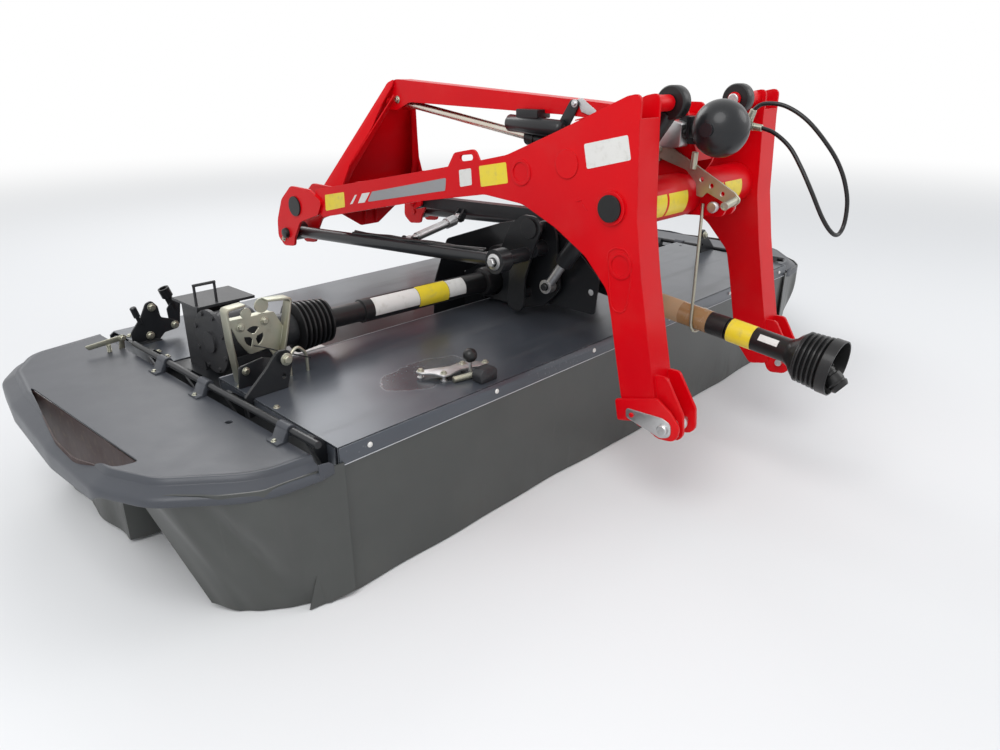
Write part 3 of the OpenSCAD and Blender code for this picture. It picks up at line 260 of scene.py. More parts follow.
zincLook = {**steelLook, "colour": (0.40, 0.41, 0.34), "tint": (0.47, 0.45, 0.36),
            "bright": (0.66, 0.66, 0.58), "rough": 0.3, "stain": 0.3}
rodLook = {**steelLook, "colour": (0.66, 0.60, 0.50), "tint": (0.70, 0.66, 0.58), "rough": 0.14,
           "relief": 0.15, "stain": 0.15}

finishes = {
    "frame_red": paintFinish("red_paint", paintLook),
    "sheet_grey": sheetFinish("deck_sheet", deckLook),
    "guard_grey": paintFinish("guard_plastic", guardLook),
    "curtain_rubber": rubberFinish("curtain", curtainLook),
    "black_paint": paintFinish("black_coat", blackLook),
    "cast_grey": paintFinish("cast_iron", castLook),
    "bright_steel": metalFinish("steel", steelLook),
    "zinc": metalFinish("zinc_plate", zincLook),
    "rod_plating": metalFinish("piston_rod", rodLook),
    "black_plastic": paintFinish("black_plastic", plasticLook),
    "hose_rubber": paintFinish("hose_rubber", hoseLook),
    "white_label": stickerFinish("white_label", (0.72, 0.71, 0.68), 0.35),
    "yellow_label": stickerFinish("yellow_label", (0.80, 0.62, 0.02), 0.35),
    "grey_label": stickerFinish("grey_label", (0.27, 0.27, 0.28), 0.3),
    "grip_red": stickerFinish("grip_liner", (0.030, 0.009, 0.008), 0.6),
    # light grey finish for the painted highlight lines along the hood's flange foot and ridge
    "light_edge": stickerFinish("painted_edge_highlight", (0.46, 0.47, 0.49), 0.4),
    "kraft_paper": stickerFinish("kraft_paper", (0.42, 0.27, 0.14), 0.6),
    "brown_tape": stickerFinish("brown_tape", (0.30, 0.17, 0.07), 0.22),
}
for name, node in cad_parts.items():
    for holder in node.material_slots:
        key = holder.material.name.split(".")[0]
        if key in finishes:
            holder.material = finishes[key]
        else:
            print("no finish for", name, key)
print("finishes:", len(finishes))


# Ways of making pieces

def alone(piece=None):  # nothing selected but this piece
    if bpy.context.mode != "OBJECT":
        bpy.ops.object.mode_set(mode="OBJECT")
    bpy.ops.object.select_all(action="DESELECT")
    if piece:
        piece.select_set(True)
        bpy.context.view_layer.objects.active = piece


def started(name):  # the object just made takes its name
    piece = bpy.context.object
    piece.name = name
    piece.data.name = name
    return piece


def applyAll(piece):
    alone(piece)
    for modifier in list(piece.modifiers):
        bpy.ops.object.modifier_apply(modifier=modifier.name)


def thickened(piece, thick, offset=0):
    wall = piece.modifiers.new("wall", "SOLIDIFY")
    wall.thickness = thick
    wall.offset = offset
    applyAll(piece)
    return piece


def placed(piece, place, direction):  # the piece's own Z turns to the direction
    turn = Vector((0, 0, 1)).rotation_difference(Vector(direction)).to_matrix().to_4x4()
    piece.data.transform(Matrix.Translation(place) @ turn)
    return piece


def dressed(piece, finish, body, smooth=35, closed=True, replaced=()):
    alone(piece)
    bpy.ops.object.transform_apply(location=True, rotation=True, scale=True)
    bpy.ops.object.mode_set(mode="EDIT")
    bpy.ops.mesh.select_all(action="SELECT")
    bpy.ops.mesh.remove_doubles(threshold=0.00002)
    if closed:
        bpy.ops.mesh.normals_make_consistent(inside=False)
    bpy.ops.object.mode_set(mode="OBJECT")
    if smooth:
        bpy.ops.object.shade_smooth_by_angle(angle=math.radians(smooth))
    piece.data.materials.clear()
    piece.data.materials.append(finishes[finish])
    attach(piece, body)
    if replaced:
        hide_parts(*replaced)
    return piece


def turned(name, profile, place, direction, sides=40):  # profile of (height, radius) from end to end
    alone()
    bpy.ops.mesh.primitive_circle_add(vertices=sides, radius=profile[0][1], fill_type="NGON",
                                      location=(0, 0, 0))
    piece = started(name)
    piece.data.transform(Matrix.Translation((0, 0, profile[0][0])))
    bpy.ops.object.mode_set(mode="EDIT")
    bpy.ops.mesh.select_all(action="SELECT")
    height, radius = profile[0]
    for up, out in profile[1:]:
        bpy.ops.mesh.extrude_region_move(TRANSFORM_OT_translate={"value": (0, 0, up - height)})
        grow = out / radius
        bpy.ops.transform.resize(value=(grow, grow, 1), center_override=(0, 0, up))
        height, radius = up, out
    bpy.ops.object.mode_set(mode="OBJECT")
    return placed(piece, place, direction)


def plated(name, outline, thick, turn, place, rim=0.0):  # a flat outline [u, v] extruded by thick
    alone()
    bpy.ops.mesh.primitive_circle_add(vertices=len(outline), radius=1, fill_type="NGON", location=(0, 0, 0))
    piece = started(name)
    for vertex, spot in zip(piece.data.vertices, outline):
        vertex.co = (spot[0], spot[1], 0)
    bpy.ops.object.mode_set(mode="EDIT")
    bpy.ops.mesh.select_all(action="SELECT")
    bpy.ops.mesh.extrude_region_move(TRANSFORM_OT_translate={"value": (0, 0, thick)})
    bpy.ops.object.mode_set(mode="OBJECT")
    if rim:
        bevel = piece.modifiers.new("rim", "BEVEL")
        bevel.width = rim
        bevel.segments = 2
        bevel.limit_method = "ANGLE"
        applyAll(piece)
    piece.data.transform(Matrix.Translation(place) @ turn)
    return piece


def roundedOutline(corners, steps=4):  # corners of (u, v, radius)
    outline = []
    count = len(corners)
    for i, (u, v, radius) in enumerate(corners):
        here = Vector((u, v))
        back = (Vector(corners[i - 1][:2]) - here)
        ahead = (Vector(corners[(i + 1) % count][:2]) - here)
        half = back.angle(ahead) / 2
        reach = min(radius / math.tan(half), 0.48 * back.length, 0.48 * ahead.length)
        if radius <= 0:
            outline.append((u, v))
            continue
        start, stop = here + back.normalized() * reach, here + ahead.normalized() * reach
        for k in range(steps + 1):
            t = k / steps
            spot = start * (1 - t) ** 2 + here * 2 * t * (1 - t) + stop * t ** 2
            outline.append((spot.x, spot.y))
    return outline


def lined(name, route, radius, fineness):  # a round line on a route, still a curve
    line = bpy.data.curves.new(name, "CURVE")
    line.dimensions = "3D"
    line.bevel_depth = radius
    line.bevel_resolution = fineness
    line.use_fill_caps = True
    run = line.splines.new("POLY")
    run.points.add(len(route) - 1)
    for spot, point in zip(route, run.points):
        point.co = (*spot, 1)
    piece = bpy.data.objects.new(name, line)
    scene.collection.objects.link(piece)
    return piece


def bentRod(name, route, radius, sides=10, smooth=True):
    alone(lined(name, softened(route) if smooth else route, radius, sides // 4))
    bpy.ops.object.convert(target="MESH")
    return bpy.context.object


def softened(route, radius=0.02, steps=4):
    points = [Vector(route[0])]
    for before, here, after in zip(route, route[1:], route[2:]):
        before, here, after = Vector(before), Vector(here), Vector(after)
        back, ahead = before - here, after - here
        reach = min(radius, back.length * 0.45, ahead.length * 0.45)
        start, stop = here + back.normalized() * reach, here + ahead.normalized() * reach
        for k in range(steps + 1):
            t = k / steps
            points.append(start * (1 - t) ** 2 + here * 2 * t * (1 - t) + stop * t ** 2)
    return points + [Vector(route[-1])]


def joined(name, pieces):
    alone(pieces[0])
    for piece in pieces:
        piece.select_set(True)
    if len(pieces) > 1:
        bpy.ops.object.join()
    return started(name)


def smoothRoute(points, steps):  # a soft curve through the points
    route = []
    for i in range(len(points) - 1):
        p0, p1, p2, p3 = (Vector(points[min(max(i + k, 0), len(points) - 1)]) for k in (-1, 0, 1, 2))
        for k in range(steps):
            t = k / steps
            route.append(0.5 * (2 * p1 + (p2 - p0) * t + (2 * p0 - 5 * p1 + 4 * p2 - p3) * t ** 2
                                + (3 * p1 - p0 - 3 * p2 + p3) * t ** 3))
    return route + [Vector(points[-1])]


def turnedPiece(name, look, body, place=None, way=None, replaced=()):
    piece = turned(name, look["profile"], place or look["place"], way or look["way"], look["sides"])
    return dressed(piece, look["finish"], body, look["smooth"], True, replaced)


def platedPiece(name, look, body, face=None, place=None):
    outline = roundedOutline(look["outline"], look.get("steps", 4))
    piece = plated(name, outline, look["thick"], face or look["face"], place or look["place"], look["rim"])
    return dressed(piece, look["finish"], body, look["smooth"])


# Accumulator hose, on the route of the part's source

hoseLay = {"root": (0.084, -0.872, 1.362), "neck": 0.034, "gap": 0.0002, "beyond": 0.022, "width": 0.015,
           "fineness": 5, "leaves": (0, -0.35, 1), "returns": (0, -1, -0.1),
           "way": [(90, -924, 1438), (100, -997, 1433), (112, -1082, 1385), (128, -1167, 1296),
                   (144, -1213, 1221), (158, -1238, 1145), (164, -1245, 1085), (156, -1245, 1032),
                   (124, -1241, 1008), (84, -1230, 1024), (50, -1204, 1076), (36, -1158, 1164),
                   (42, -1108, 1238), (56, -1053, 1300), (72, -985, 1342)]}
hoseFerrule = {"profile": [(0.012, 0.0125), (0.014, 0.0135), (0.026, 0.0135), (0.0265, 0.0105),
                           (0.0278, 0.0105), (0.0282, 0.0125), (0.034, 0.0125), (0.058, 0.0118),
                           (0.06, 0.0095)], "sides": 24, "finish": "zinc", "smooth": 30}
hoseRoot = Vector(hoseLay["root"])
hoseOut, hoseIn = Vector(hoseLay["leaves"]).normalized(), Vector(hoseLay["returns"]).normalized()
near, far = hoseLay["neck"] + hoseLay["gap"], hoseLay["neck"] + hoseLay["beyond"]
hoseRoute = smoothRoute([hoseRoot + hoseOut * near, hoseRoot + hoseOut * far]
                        + [Vector(p) / 1000 for p in hoseLay["way"]]
                        + [hoseRoot + hoseIn * far, hoseRoot + hoseIn * near], 6)
hose = lined("hose_line", hoseRoute, hoseLay["width"] / 2, hoseLay["fineness"])
hose.data.materials.append(finishes["hose_rubber"])
hoseLength = sum((b - a).length for a, b in zip(hoseRoute, hoseRoute[1:]))
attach(hose, "frame")
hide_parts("hose")
turnedPiece("hose_ferrule_top", hoseFerrule, "frame", hoseRoot, hoseOut)
turnedPiece("hose_ferrule_low", hoseFerrule, "frame", hoseRoot, hoseIn)
print("hose length", round(hoseLength, 3))


# Curtains: a grid in (along, down) hung on its upper line

def hung(name, look, body, node, gridX=60, gridY=24):
    alone()
    bpy.ops.mesh.primitive_grid_add(x_subdivisions=gridX, y_subdivisions=gridY, size=1, location=(0, 0, 0))
    piece = started(name)
    top, foot = [Vector(p) for p in look["top"]], [Vector(p) for p in look["foot"]]
    for vertex in piece.data.vertices:
        along, down = vertex.co.x + 0.5, 0.5 - vertex.co.y
        spot = onLine(top, along).lerp(onLine(foot, along), down)
        ahead = onLine(top, min(along + 0.01, 1)) - onLine(top, max(along - 0.01, 0))
        side = Vector((ahead.y, -ahead.x, 0)).normalized()
        vertex.co = spot + side * look["swell"](along, down)
    thickened(piece, look["thick"])
    return dressed(piece, "curtain_rubber", body, 60, True, (node,) if node else ())


def onLine(line, share):  # the spot at a share of a line's length
    lengths = [(b - a).length for a, b in zip(line, line[1:])]
    far = share * sum(lengths)
    for a, b, length in zip(line, line[1:], lengths):
        if far <= length:
            return a.lerp(b, far / length)
        far -= length
    return line[-1]


rearWave = {"half": 1.528, "heldFrom": 1.42, "freeOver": 0.2, "growth": 1.3, "set": 0.0015,
            "ripples": ((0.006, 3.1, 0.7), (0.004, 7.3, 2), (0.002, 17, 0))}  # depth, pitch, shift
sideWave = {"heldTo": 0.16, "freeOver": 0.2, "bulge": (0.42, 0.13, 0.3, 0.25, 0.026),
            "valley": (0.66, 0.25, 0.07, 0.018), "valleyDown": 1.15, "crease": (0.86, 0.18, 0.05, 0.008),
            "ripple": (0.002, 31)}
foreRipples = ((0.010, 23, 0), (0.006, 9, 1))  # depth, pitch, shift


def rearSwell(along, down):
    x = (along - 0.5) * 2 * rearWave["half"]
    wave = sum(depth * math.sin(x * pitch + shift) for depth, pitch, shift in rearWave["ripples"])
    free = min(max((rearWave["heldFrom"] - abs(x)) / rearWave["freeOver"], 0), 1)
    return wave * down ** rearWave["growth"] * free - rearWave["set"]


def sideSwell(along, down):
    free = min(max((along - sideWave["heldTo"]) / sideWave["freeOver"], 0), 1)
    at, wide, under, high, depth = sideWave["bulge"]
    bulge = math.exp(-((along - at) / wide) ** 2 - ((down - under) / high) ** 2) * depth
    at, slant, wide, depth = sideWave["valley"]
    swing = math.sin(math.pi * min(down * sideWave["valleyDown"], 1))
    valley = -math.exp(-((along - at + slant * down) / wide) ** 2) * depth * swing
    at, slant, wide, depth = sideWave["crease"]
    crease = math.exp(-((along - at + slant * down) / wide) ** 2) * depth * (1 - down)
    depth, pitch = sideWave["ripple"]
    return (bulge + valley + crease) * free + depth * math.sin(along * pitch) * down


def foreSwell(along, down):
    return sum(depth * math.sin(along * pitch + shift) * down for depth, pitch, shift in foreRipples)


rearLook = {"top": [(-1.528, -0.502, 0.470), (-1.480, -0.503, 0.470), (1.480, -0.503, 0.470),
                    (1.528, -0.502, 0.470)],
            "foot": [(-1.665, -0.474, 0.004), (-1.500, -0.499, 0.004), (1.500, -0.499, 0.004),
                     (1.665, -0.474, 0.004)], "thick": 0.004, "swell": rearSwell}
rearSheet = hung("rear_curtain_sheet", rearLook, "deck", "rear_curtain", 170, 20)
frontLook = {"top": [(1.528, 1.203, 0.438), (-1.528, 1.203, 0.438)],
             "foot": [(1.528, 1.203, 0.042), (-1.528, 1.203, 0.042)],
             "thick": 0.005, "swell": rearSwell}
frontSheet = hung("front_curtain_sheet", frontLook, "deck", "front_curtain", 160, 16)

guardSheet = {"rearTop": [(1.520, -0.511, 0.477), (1.600, -0.498, 0.477), (1.765, -0.475, 0.477),
                          (1.867, -0.412, 0.477), (1.967, -0.302, 0.477), (2.003, -0.165, 0.477)],
              "rearFoot": [(1.520, -0.511, 0.020), (1.600, -0.490, 0.004), (1.642, -0.447, 0.004),
                           (1.735, -0.392, 0.004), (1.815, -0.317, 0.004), (1.868, -0.252, 0.030)],
              "foreTop": [(1.720, 0.286, 0.498), (1.893, 0.296, 0.498), (1.903, 0.640, 0.498),
                          (1.872, 0.940, 0.498), (1.740, 1.080, 0.498), (1.615, 1.120, 0.498)],
              "foreFootZ": 0.013, "thick": 0.005}
guardSheet["foreFoot"] = [(x, y, guardSheet["foreFootZ"]) for x, y, z in guardSheet["foreTop"]]
for flip, side in ((1, "right"), (-1, "left")):
    body, node = f"guard_{side}", f"guard_curtain_{side}"
    looks = {}
    for part, swell in (("rear", sideSwell), ("fore", foreSwell)):
        looks[part] = {"thick": guardSheet["thick"], "swell": lambda a, d, swell=swell: flip * swell(a, d)}
        for edge in ("top", "foot"):
            looks[part][edge] = [(flip * x, y, z) for x, y, z in guardSheet[part + edge.capitalize()]]
    rear = hung(node + "_rear", looks["rear"], body, node, 60, 40)
    fore = hung(node + "_fore", looks["fore"], body, None, 80, 20)
print("curtains hung")


# Small parts

def hexed(name, spots, way, size, body, finish="zinc", washer=True):  # hexagon heads, each on its washer
    pieces = []
    for k, spot in enumerate(spots):
        if washer:
            ring = [(-0.001, size * 1.45), (size * 0.2, size * 1.45), (size * 0.24, size * 1.3)]
            pieces.append(turned(f"{name}_w{k}", ring, Vector(spot), way, 20))
        head = [(0, size), (size * 0.85, size), (size * 0.98, size * 0.84)]
        pieces.append(turned(f"{name}_h{k}", head, Vector(spot), way, 6))
    return dressed(joined(name, pieces), finish, body, 25)


def domed(name, spots, way, size, body, finish):
    dome = [(-0.001, size), (size * 0.25, size), (size * 0.5, size * 0.8), (size * 0.65, size * 0.4)]
    return dressed(joined(name, [turned(f"{name}_{k}", dome, spot, way, 14) for k, spot in enumerate(spots)]),
                   finish, body, 50)


def patched(name, look, start, way, body):  # a label wrapped part of the way round a tube
    alone()
    bpy.ops.mesh.primitive_grid_add(x_subdivisions=2, y_subdivisions=16, size=1, location=(0, 0, 0))
    piece = started(name)
    turn = Vector((0, 0, 1)).rotation_difference(Vector(way)).to_matrix()
    radius, (low, high), (first, last), finish = look
    for vertex in piece.data.vertices:
        along = low + (vertex.co.x + 0.5) * (high - low)
        angle = math.radians(first + (vertex.co.y + 0.5) * (last - first))
        vertex.co = Vector(start) + turn @ Vector((radius * math.cos(angle), radius * math.sin(angle), along))
    thickened(piece, labelThick)
    return dressed(piece, finish, body, 60)


def banded(name, look, start, way, body):  # a band all the way round a tube
    radius, (low, high), finish = look
    under, over, ramp = radius - 0.002, radius + 0.0007, 0.0002
    band = [(low, under), (low + ramp, over), (high, over), (high + ramp, under)]
    return dressed(turned(name, band, start, way, 48), finish, body, 40)


def ribbed(low, high, radius, last, ribs, depth):  # the profile of a bellows or a spring
    profile = []
    step = (high - low) / ribs
    for k in range(ribs):
        foot = low + (high - low) * k / ribs
        crest = radius + (last - radius) * k / ribs
        profile += [(foot, crest - depth), (foot + step * 0.30, crest), (foot + step * 0.62, crest),
                    (foot + step * 0.86, crest - depth)]
    return profile


leftFace = Matrix(((0, 0, -1, 0), (1, 0, 0, 0), (0, 1, 0, 0), (0, 0, 0, 1)))
rightFace = Matrix(((0, 0, 1, 0), (1, 0, 0, 0), (0, 1, 0, 0), (0, 0, 0, 1)))
rearFace = Matrix(((1, 0, 0, 0), (0, 0, -1, 0), (0, 1, 0, 0), (0, 0, 0, 1)))
frontFace = Matrix(((1, 0, 0, 0), (0, 0, 1, 0), (0, 1, 0, 0), (0, 0, 0, 1)))
topFace = Matrix.Identity(4)
bothSides = {"left": (-1, leftFace), "right": (1, rightFace)}
labelThick = 0.0006


def stuck(name, corners, face, place, body, finish, radius):  # a flat label, its corners in mm
    outline = roundedOutline([(u / 1000, v / 1000, radius) for u, v in corners], 3)
    return dressed(plated(name, outline, labelThick, face, place), finish, body, 0)


# Blank labels, pin caps and weld seams on the side plates

plateLook = {"x": 0.5, "labelX": 0.5001, "corner": 0.007,
             "labels": {"front_warning": ("yellow_label",
                                          [(991, 907), (987, 985), (828, 1015), (829, 945)]),
                        "arm_strip": ("grey_label", [(611, 1039), (652, 988), (123, 1092), (116, 1144)]),
                        "lift_mark": ("white_label", [(39, 1181), (35, 1115), (-33, 1130), (-29, 1194)]),
                        "arm_warning": ("yellow_label",
                                        [(-73, 1205), (-83, 1127), (-226, 1155), (-216, 1231)]),
                        "folding_chart": ("white_label",
                                          [(-576, 1317), (-593, 1236), (-769, 1279), (-751, 1356)])},
             "stripes": [[(743, 1010), (787, 962), (767, 967), (727, 1013)],
                         [(687, 1023), (724, 974), (671, 984), (627, 1034)]],
             "seams": [((-0.553, 1.122), (-0.575, 1.130)), ((-0.579, 1.118), (-0.600, 1.098)),
                       ((-0.575, 1.402), (-0.535, 1.392))], "seam": 0.0022,
             "channel": [(-700, 950), (-722, 780), (-742, 760), (-775, 762), (-788, 785), (-800, 880),
                         (-792, 960), (-770, 985), (-726, 985), (-700, 965), (-700, 950)], "weld": 0.003}
frontPin = {"x": 0.512, "cap": (1.351, 0.752), "bolt": (1.386, 0.716), "boltSize": 0.010, "sides": 28,
            "smooth": 40, "profile": [(-0.001, 0.027), (0.012, 0.027), (0.019, 0.023), (0.021, 0.016)],
            "finish": "black_plastic"}
apexBolt = {"place": (0.0465, 0.950, 1.412), "size": 0.0125}
for side, (flip, face) in bothSides.items():
    labelPlace = (flip * plateLook["labelX"], 0, 0)
    for name, (finish, corners) in plateLook["labels"].items():
        stuck(f"{name}_{side}", corners, face, labelPlace, "frame", finish, plateLook["corner"])
    for k, corners in enumerate(plateLook["stripes"]):
        stuck(f"arm_stripe_{side}_{k}", corners, face, labelPlace, "frame", "white_label", 0.001)
    out = (flip, 0, 0)
    pinX = flip * frontPin["x"]
    turnedPiece(f"front_pin_cap_{side}", frontPin, "frame", (pinX, *frontPin["cap"]), out)
    hexed(f"front_pin_bolt_{side}", [(pinX, *frontPin["bolt"])], out, frontPin["boltSize"], "frame")
    apexX, apexY, apexZ = apexBolt["place"]
    hexed(f"apex_bolt_{side}", [(flip * apexX, apexY, apexZ)], out, apexBolt["size"], "frame")
    x = flip * plateLook["x"]
    seams = [bentRod(f"seam_{side}_{k}", [(x, *start), (x, *stop)], plateLook["seam"], 8, False)
             for k, (start, stop) in enumerate(plateLook["seams"])]
    route = [(x, y / 1000, z / 1000) for y, z in plateLook["channel"]]
    seams.append(bentRod(f"channel_{side}", route, plateLook["weld"], 8))
    dressed(joined(f"plate_seams_{side}", seams), "frame_red", "frame", 60)
print("plates labelled")


# Rear cross tube's bands, and the parts round the headstock

tubeBands = {"axis": (0, -0.703, 1.116), "radius": 0.0804, "angles": (-112, -52),
             "reaches": [(-0.358, -0.276), (-0.262, -0.135), (0.105, 0.136), (0.148, 0.285)]}
for k, reach in enumerate(tubeBands["reaches"]):
    patched(f"tube_band_{k}", (tubeBands["radius"], reach, tubeBands["angles"], "yellow_label"),
            tubeBands["axis"], (1, 0, 0), "frame")

reliefEye = {"x": 0.235, "yz": (-0.750, 1.447), "sides": 44, "smooth": 35, "finish": "black_plastic",
             "profile": [(-0.0272, 0.030), (-0.0270, 0.052), (-0.020, 0.0565), (0.020, 0.0565),
                         (0.0270, 0.052), (0.0272, 0.030)]}
reliefPin = {"x": 0.2015, "profile": [(-0.004, 0.0205), (0.010, 0.0205), (0.012, 0.018)], "sides": 28,
             "smooth": 35, "finish": "bright_steel"}
for side, (flip, face) in bothSides.items():
    turnedPiece(f"relief_eye_{side}", reliefEye, f"relief_barrel_{side}",
                (flip * reliefEye["x"], *reliefEye["yz"]), (1, 0, 0))
    turnedPiece(f"relief_pin_{side}", reliefPin, "frame", (flip * reliefPin["x"], *reliefEye["yz"]),
                (-flip, 0, 0))

damper = {"start": Vector((-0.078, 0.165, 1.337)), "stop": Vector((-0.078, -0.150, 1.322)), "radius": 0.036,
          "saddle": {"outline": [(0.10, 1.360, 0.004), (0.10, 1.396, 0.004), (-0.02, 1.396, 0.004),
                                 (-0.02, 1.360, 0.004)], "thick": 0.088, "face": rightFace,
                     "place": (-0.098, 0, 0), "rim": 0.003, "finish": "black_paint", "smooth": 30}}
length, r = (damper["stop"] - damper["start"]).length, damper["radius"]
bottle = turned("damper_bottle", [(0, r * 0.35), (0.006, r * 0.75), (0.016, r), (length - 0.016, r),
                                  (length - 0.004, r * 0.8), (length, r * 0.4)], damper["start"],
                damper["stop"] - damper["start"], 40)
dressed(bottle, "black_paint", "frame", 50)
platedPiece("damper_saddle", damper["saddle"], "frame")

knee = {"knee_link": {"outline": [(-0.165, 1.440, 0.02), (-0.205, 1.436, 0.02), (-0.200, 1.405, 0.02),
                                  (-0.115, 1.268, 0.024), (-0.075, 1.275, 0.024), (-0.078, 1.310, 0.02)],
                      "thick": 0.010, "face": leftFace, "place": (-0.0472, 0, 0), "rim": 0.002,
                      "finish": "black_paint", "smooth": 30},
        "knee_plate": {"outline": [(-0.190, 1.440, 0.006), (-0.215, 1.446, 0.006), (-0.290, 1.400, 0.006),
                                   (-0.285, 1.372, 0.006), (-0.215, 1.392, 0.006)], "thick": 0.004,
                       "face": leftFace, "place": (-0.0462, 0, 0), "rim": 0.001, "finish": "bright_steel",
                       "smooth": 30},
        "valve_block": {"outline": [(-0.645, 1.285, 0.012), (-0.620, 1.350, 0.02), (-0.690, 1.382, 0.012),
                                    (-0.728, 1.372, 0.012), (-0.728, 1.290, 0.012)], "thick": 0.060,
                        "face": leftFace, "place": (-0.0705, 0, 0), "rim": 0.004, "finish": "bright_steel",
                        "smooth": 30}}
for name, look in knee.items():
    platedPiece(name, look, "frame")
hexed("knee_bolt", [(-0.057, -0.185, 1.424)], (-1, 0, 0), 0.011, "frame", "bright_steel")
domed("valve_plug", [(-0.105, -0.728, 1.335)], (0, -1, 0), 0.018, "frame", "black_plastic")

headParts = {"strip_guide": {"profile": [(0, 0.012), (0.058, 0.012), (0.060, 0.010)],
                             "place": (-0.092, -0.768, 1.216), "way": (0, -0.05, 1), "sides": 20,
                             "finish": "zinc", "smooth": 40},
             "lever_tube": {"profile": [(-0.002, 0.0125), (0.092, 0.0145), (0.094, 0.0145),
                                        (0.0941, 0.0112), (0.060, 0.0112)],
                            "place": (-0.086, -0.944, 1.122), "way": (-0.086, -0.006, -0.010), "sides": 24,
                            "finish": "zinc", "smooth": 35},
             "top_pin_head": {"profile": [(0, 0.0205), (0.008, 0.0205), (0.011, 0.017)],
                              "place": (-0.070, -0.851, 1.084), "way": (-1, 0, 0), "sides": 28,
                              "finish": "bright_steel", "smooth": 35}}
for name, look in headParts.items():
    turnedPiece(name, look, "frame")
print("headstock dressed")


# Drive shaft with its bands, bell, end yoke and hook: heights run along the shaft from its front joint

def slanted(degrees):
    return Vector((0, -math.cos(math.radians(degrees)), -math.sin(math.radians(degrees))))


inputRoot, inputWay, tailWay = Vector((0, 0, 0.727)), slanted(6.76), slanted(36.76)
tailRoot = inputRoot + inputWay * 1.293
shaftGuard = {"profile": [(-0.012, 0.016), (0.040, 0.0162), (0.0402, 0.050),
                          *ribbed(0.046, 0.205, 0.070, 0.054, 8, 0.010), (0.206, 0.049), (0.222, 0.047),
                          (0.224, 0.0445), (0.940, 0.0445), (0.9402, 0.031), (0.900, 0.031)], "sides": 44,
              "finish": "black_plastic", "smooth": 32}
shaftCross = {"profile": [(-0.036, 0.0078), (0.036, 0.0078)], "sides": 20, "finish": "bright_steel",
              "smooth": 40}
tailGuard = {"profile": [(0.520, 0.0295), (0.946, 0.0295), (0.9462, 0.0455), (1.184, 0.0455),
                         (1.194, 0.050), (1.206, 0.056), (1.222, 0.074), (1.236, 0.086),
                         *ribbed(1.240, 1.330, 0.095, 0.101, 5, 0.010), (1.334, 0.103), (1.372, 0.103),
                         (1.3722, 0.098), (1.262, 0.078)], "sides": 48, "finish": "black_plastic",
             "smooth": 32}
yokeCollar = {"profile": [(0.020, 0.026), (0.046, 0.026), (0.048, 0.032), (0.060, 0.032), (0.062, 0.029),
                          (0.072, 0.029), (0.074, 0.036), (0.100, 0.036), (0.104, 0.033), (0.110, 0.033),
                          (0.112, 0.036), (0.120, 0.034), (0.130, 0.028), (0.1302, 0.0178),
                          (0.050, 0.0176)], "sides": 40, "finish": "black_plastic", "smooth": 32}
yokeEar = {"outline": [(-0.030, -0.020, 0.014), (0.050, -0.026, 0.004), (0.050, 0.026, 0.004),
                       (-0.030, 0.020, 0.014)], "thick": 0.010, "rim": 0.002, "places": (-0.034, 0.024)}
yokeCross = {"profile": [(-0.036, 0.009), (-0.030, 0.012), (0.030, 0.012), (0.036, 0.009)], "sides": 20,
             "finish": "bright_steel", "smooth": 40}
shaftBands = {"kraft_wrap": ("input_shaft", (0.0448, (0.560, 0.735), "kraft_paper")),
              "tape_wrap": ("input_shaft", (0.0446, (0.735, 0.862), "brown_tape")),
              "warning_band": ("input_tail", (0.0457, (0.952, 1.052), "yellow_label"))}
turnedPiece("shaft_guard", shaftGuard, "input_shaft", inputRoot, inputWay, ("input_shaft",))
turnedPiece("shaft_cross", shaftCross, "input_shaft", inputRoot, (1, 0, 0))
turnedPiece("tail_guard", tailGuard, "input_tail", inputRoot, inputWay, ("input_tail",))
for name, (body, look) in shaftBands.items():
    banded(name, look, inputRoot, inputWay, body)
patched("shaft_label", (0.0459, (1.080, 1.156), (128, 160), "white_label"), inputRoot, inputWay, "input_tail")
turnedPiece("yoke_collar", yokeCollar, "input_tail", tailRoot, tailWay)
yokeTurn = Matrix(((0, 0, 1, 0), (tailWay.y, -tailWay.z, 0, 0), (tailWay.z, tailWay.y, 0, 0), (0, 0, 0, 1)))
ears = []
for k, x in enumerate(yokeEar["places"]):
    earTurn = Matrix.Translation((x, tailRoot.y, tailRoot.z)) @ yokeTurn
    ears.append(plated(f"yoke_ear_{k}", roundedOutline(yokeEar["outline"]), yokeEar["thick"], earTurn,
                       (0, 0, 0), yokeEar["rim"]))
dressed(joined("yoke_ears", ears), "cast_grey", "input_tail", 30)
turnedPiece("yoke_cross", yokeCross, "input_tail", tailRoot, (1, 0, 0))

hookLook = {"x": 0.052, "y": -0.800, "top": 1.090, "centre": 0.6315, "ring": 0.0540, "wire": 0.006,
            "tip": 0.030, "step": 15}
hookRoute = [(-hookLook["x"], hookLook["y"], hookLook["top"]),
             (-hookLook["ring"], hookLook["y"], hookLook["centre"] + 0.02)]
for angle in range(0, 181, hookLook["step"]):
    across, down = math.cos(math.radians(angle)), math.sin(math.radians(angle))
    hookRoute.append((-hookLook["ring"] * across, hookLook["y"],
                      hookLook["centre"] - hookLook["ring"] * down))
hookRoute.append((hookLook["ring"], hookLook["y"], hookLook["centre"] + hookLook["tip"]))
dressed(bentRod("shaft_hook_wire", hookRoute, hookLook["wire"], 12, False), "zinc", "frame", 60, True,
        ("shaft_hook",))
print("input shaft dressed")


# Side shaft, from the side gearbox to the middle one

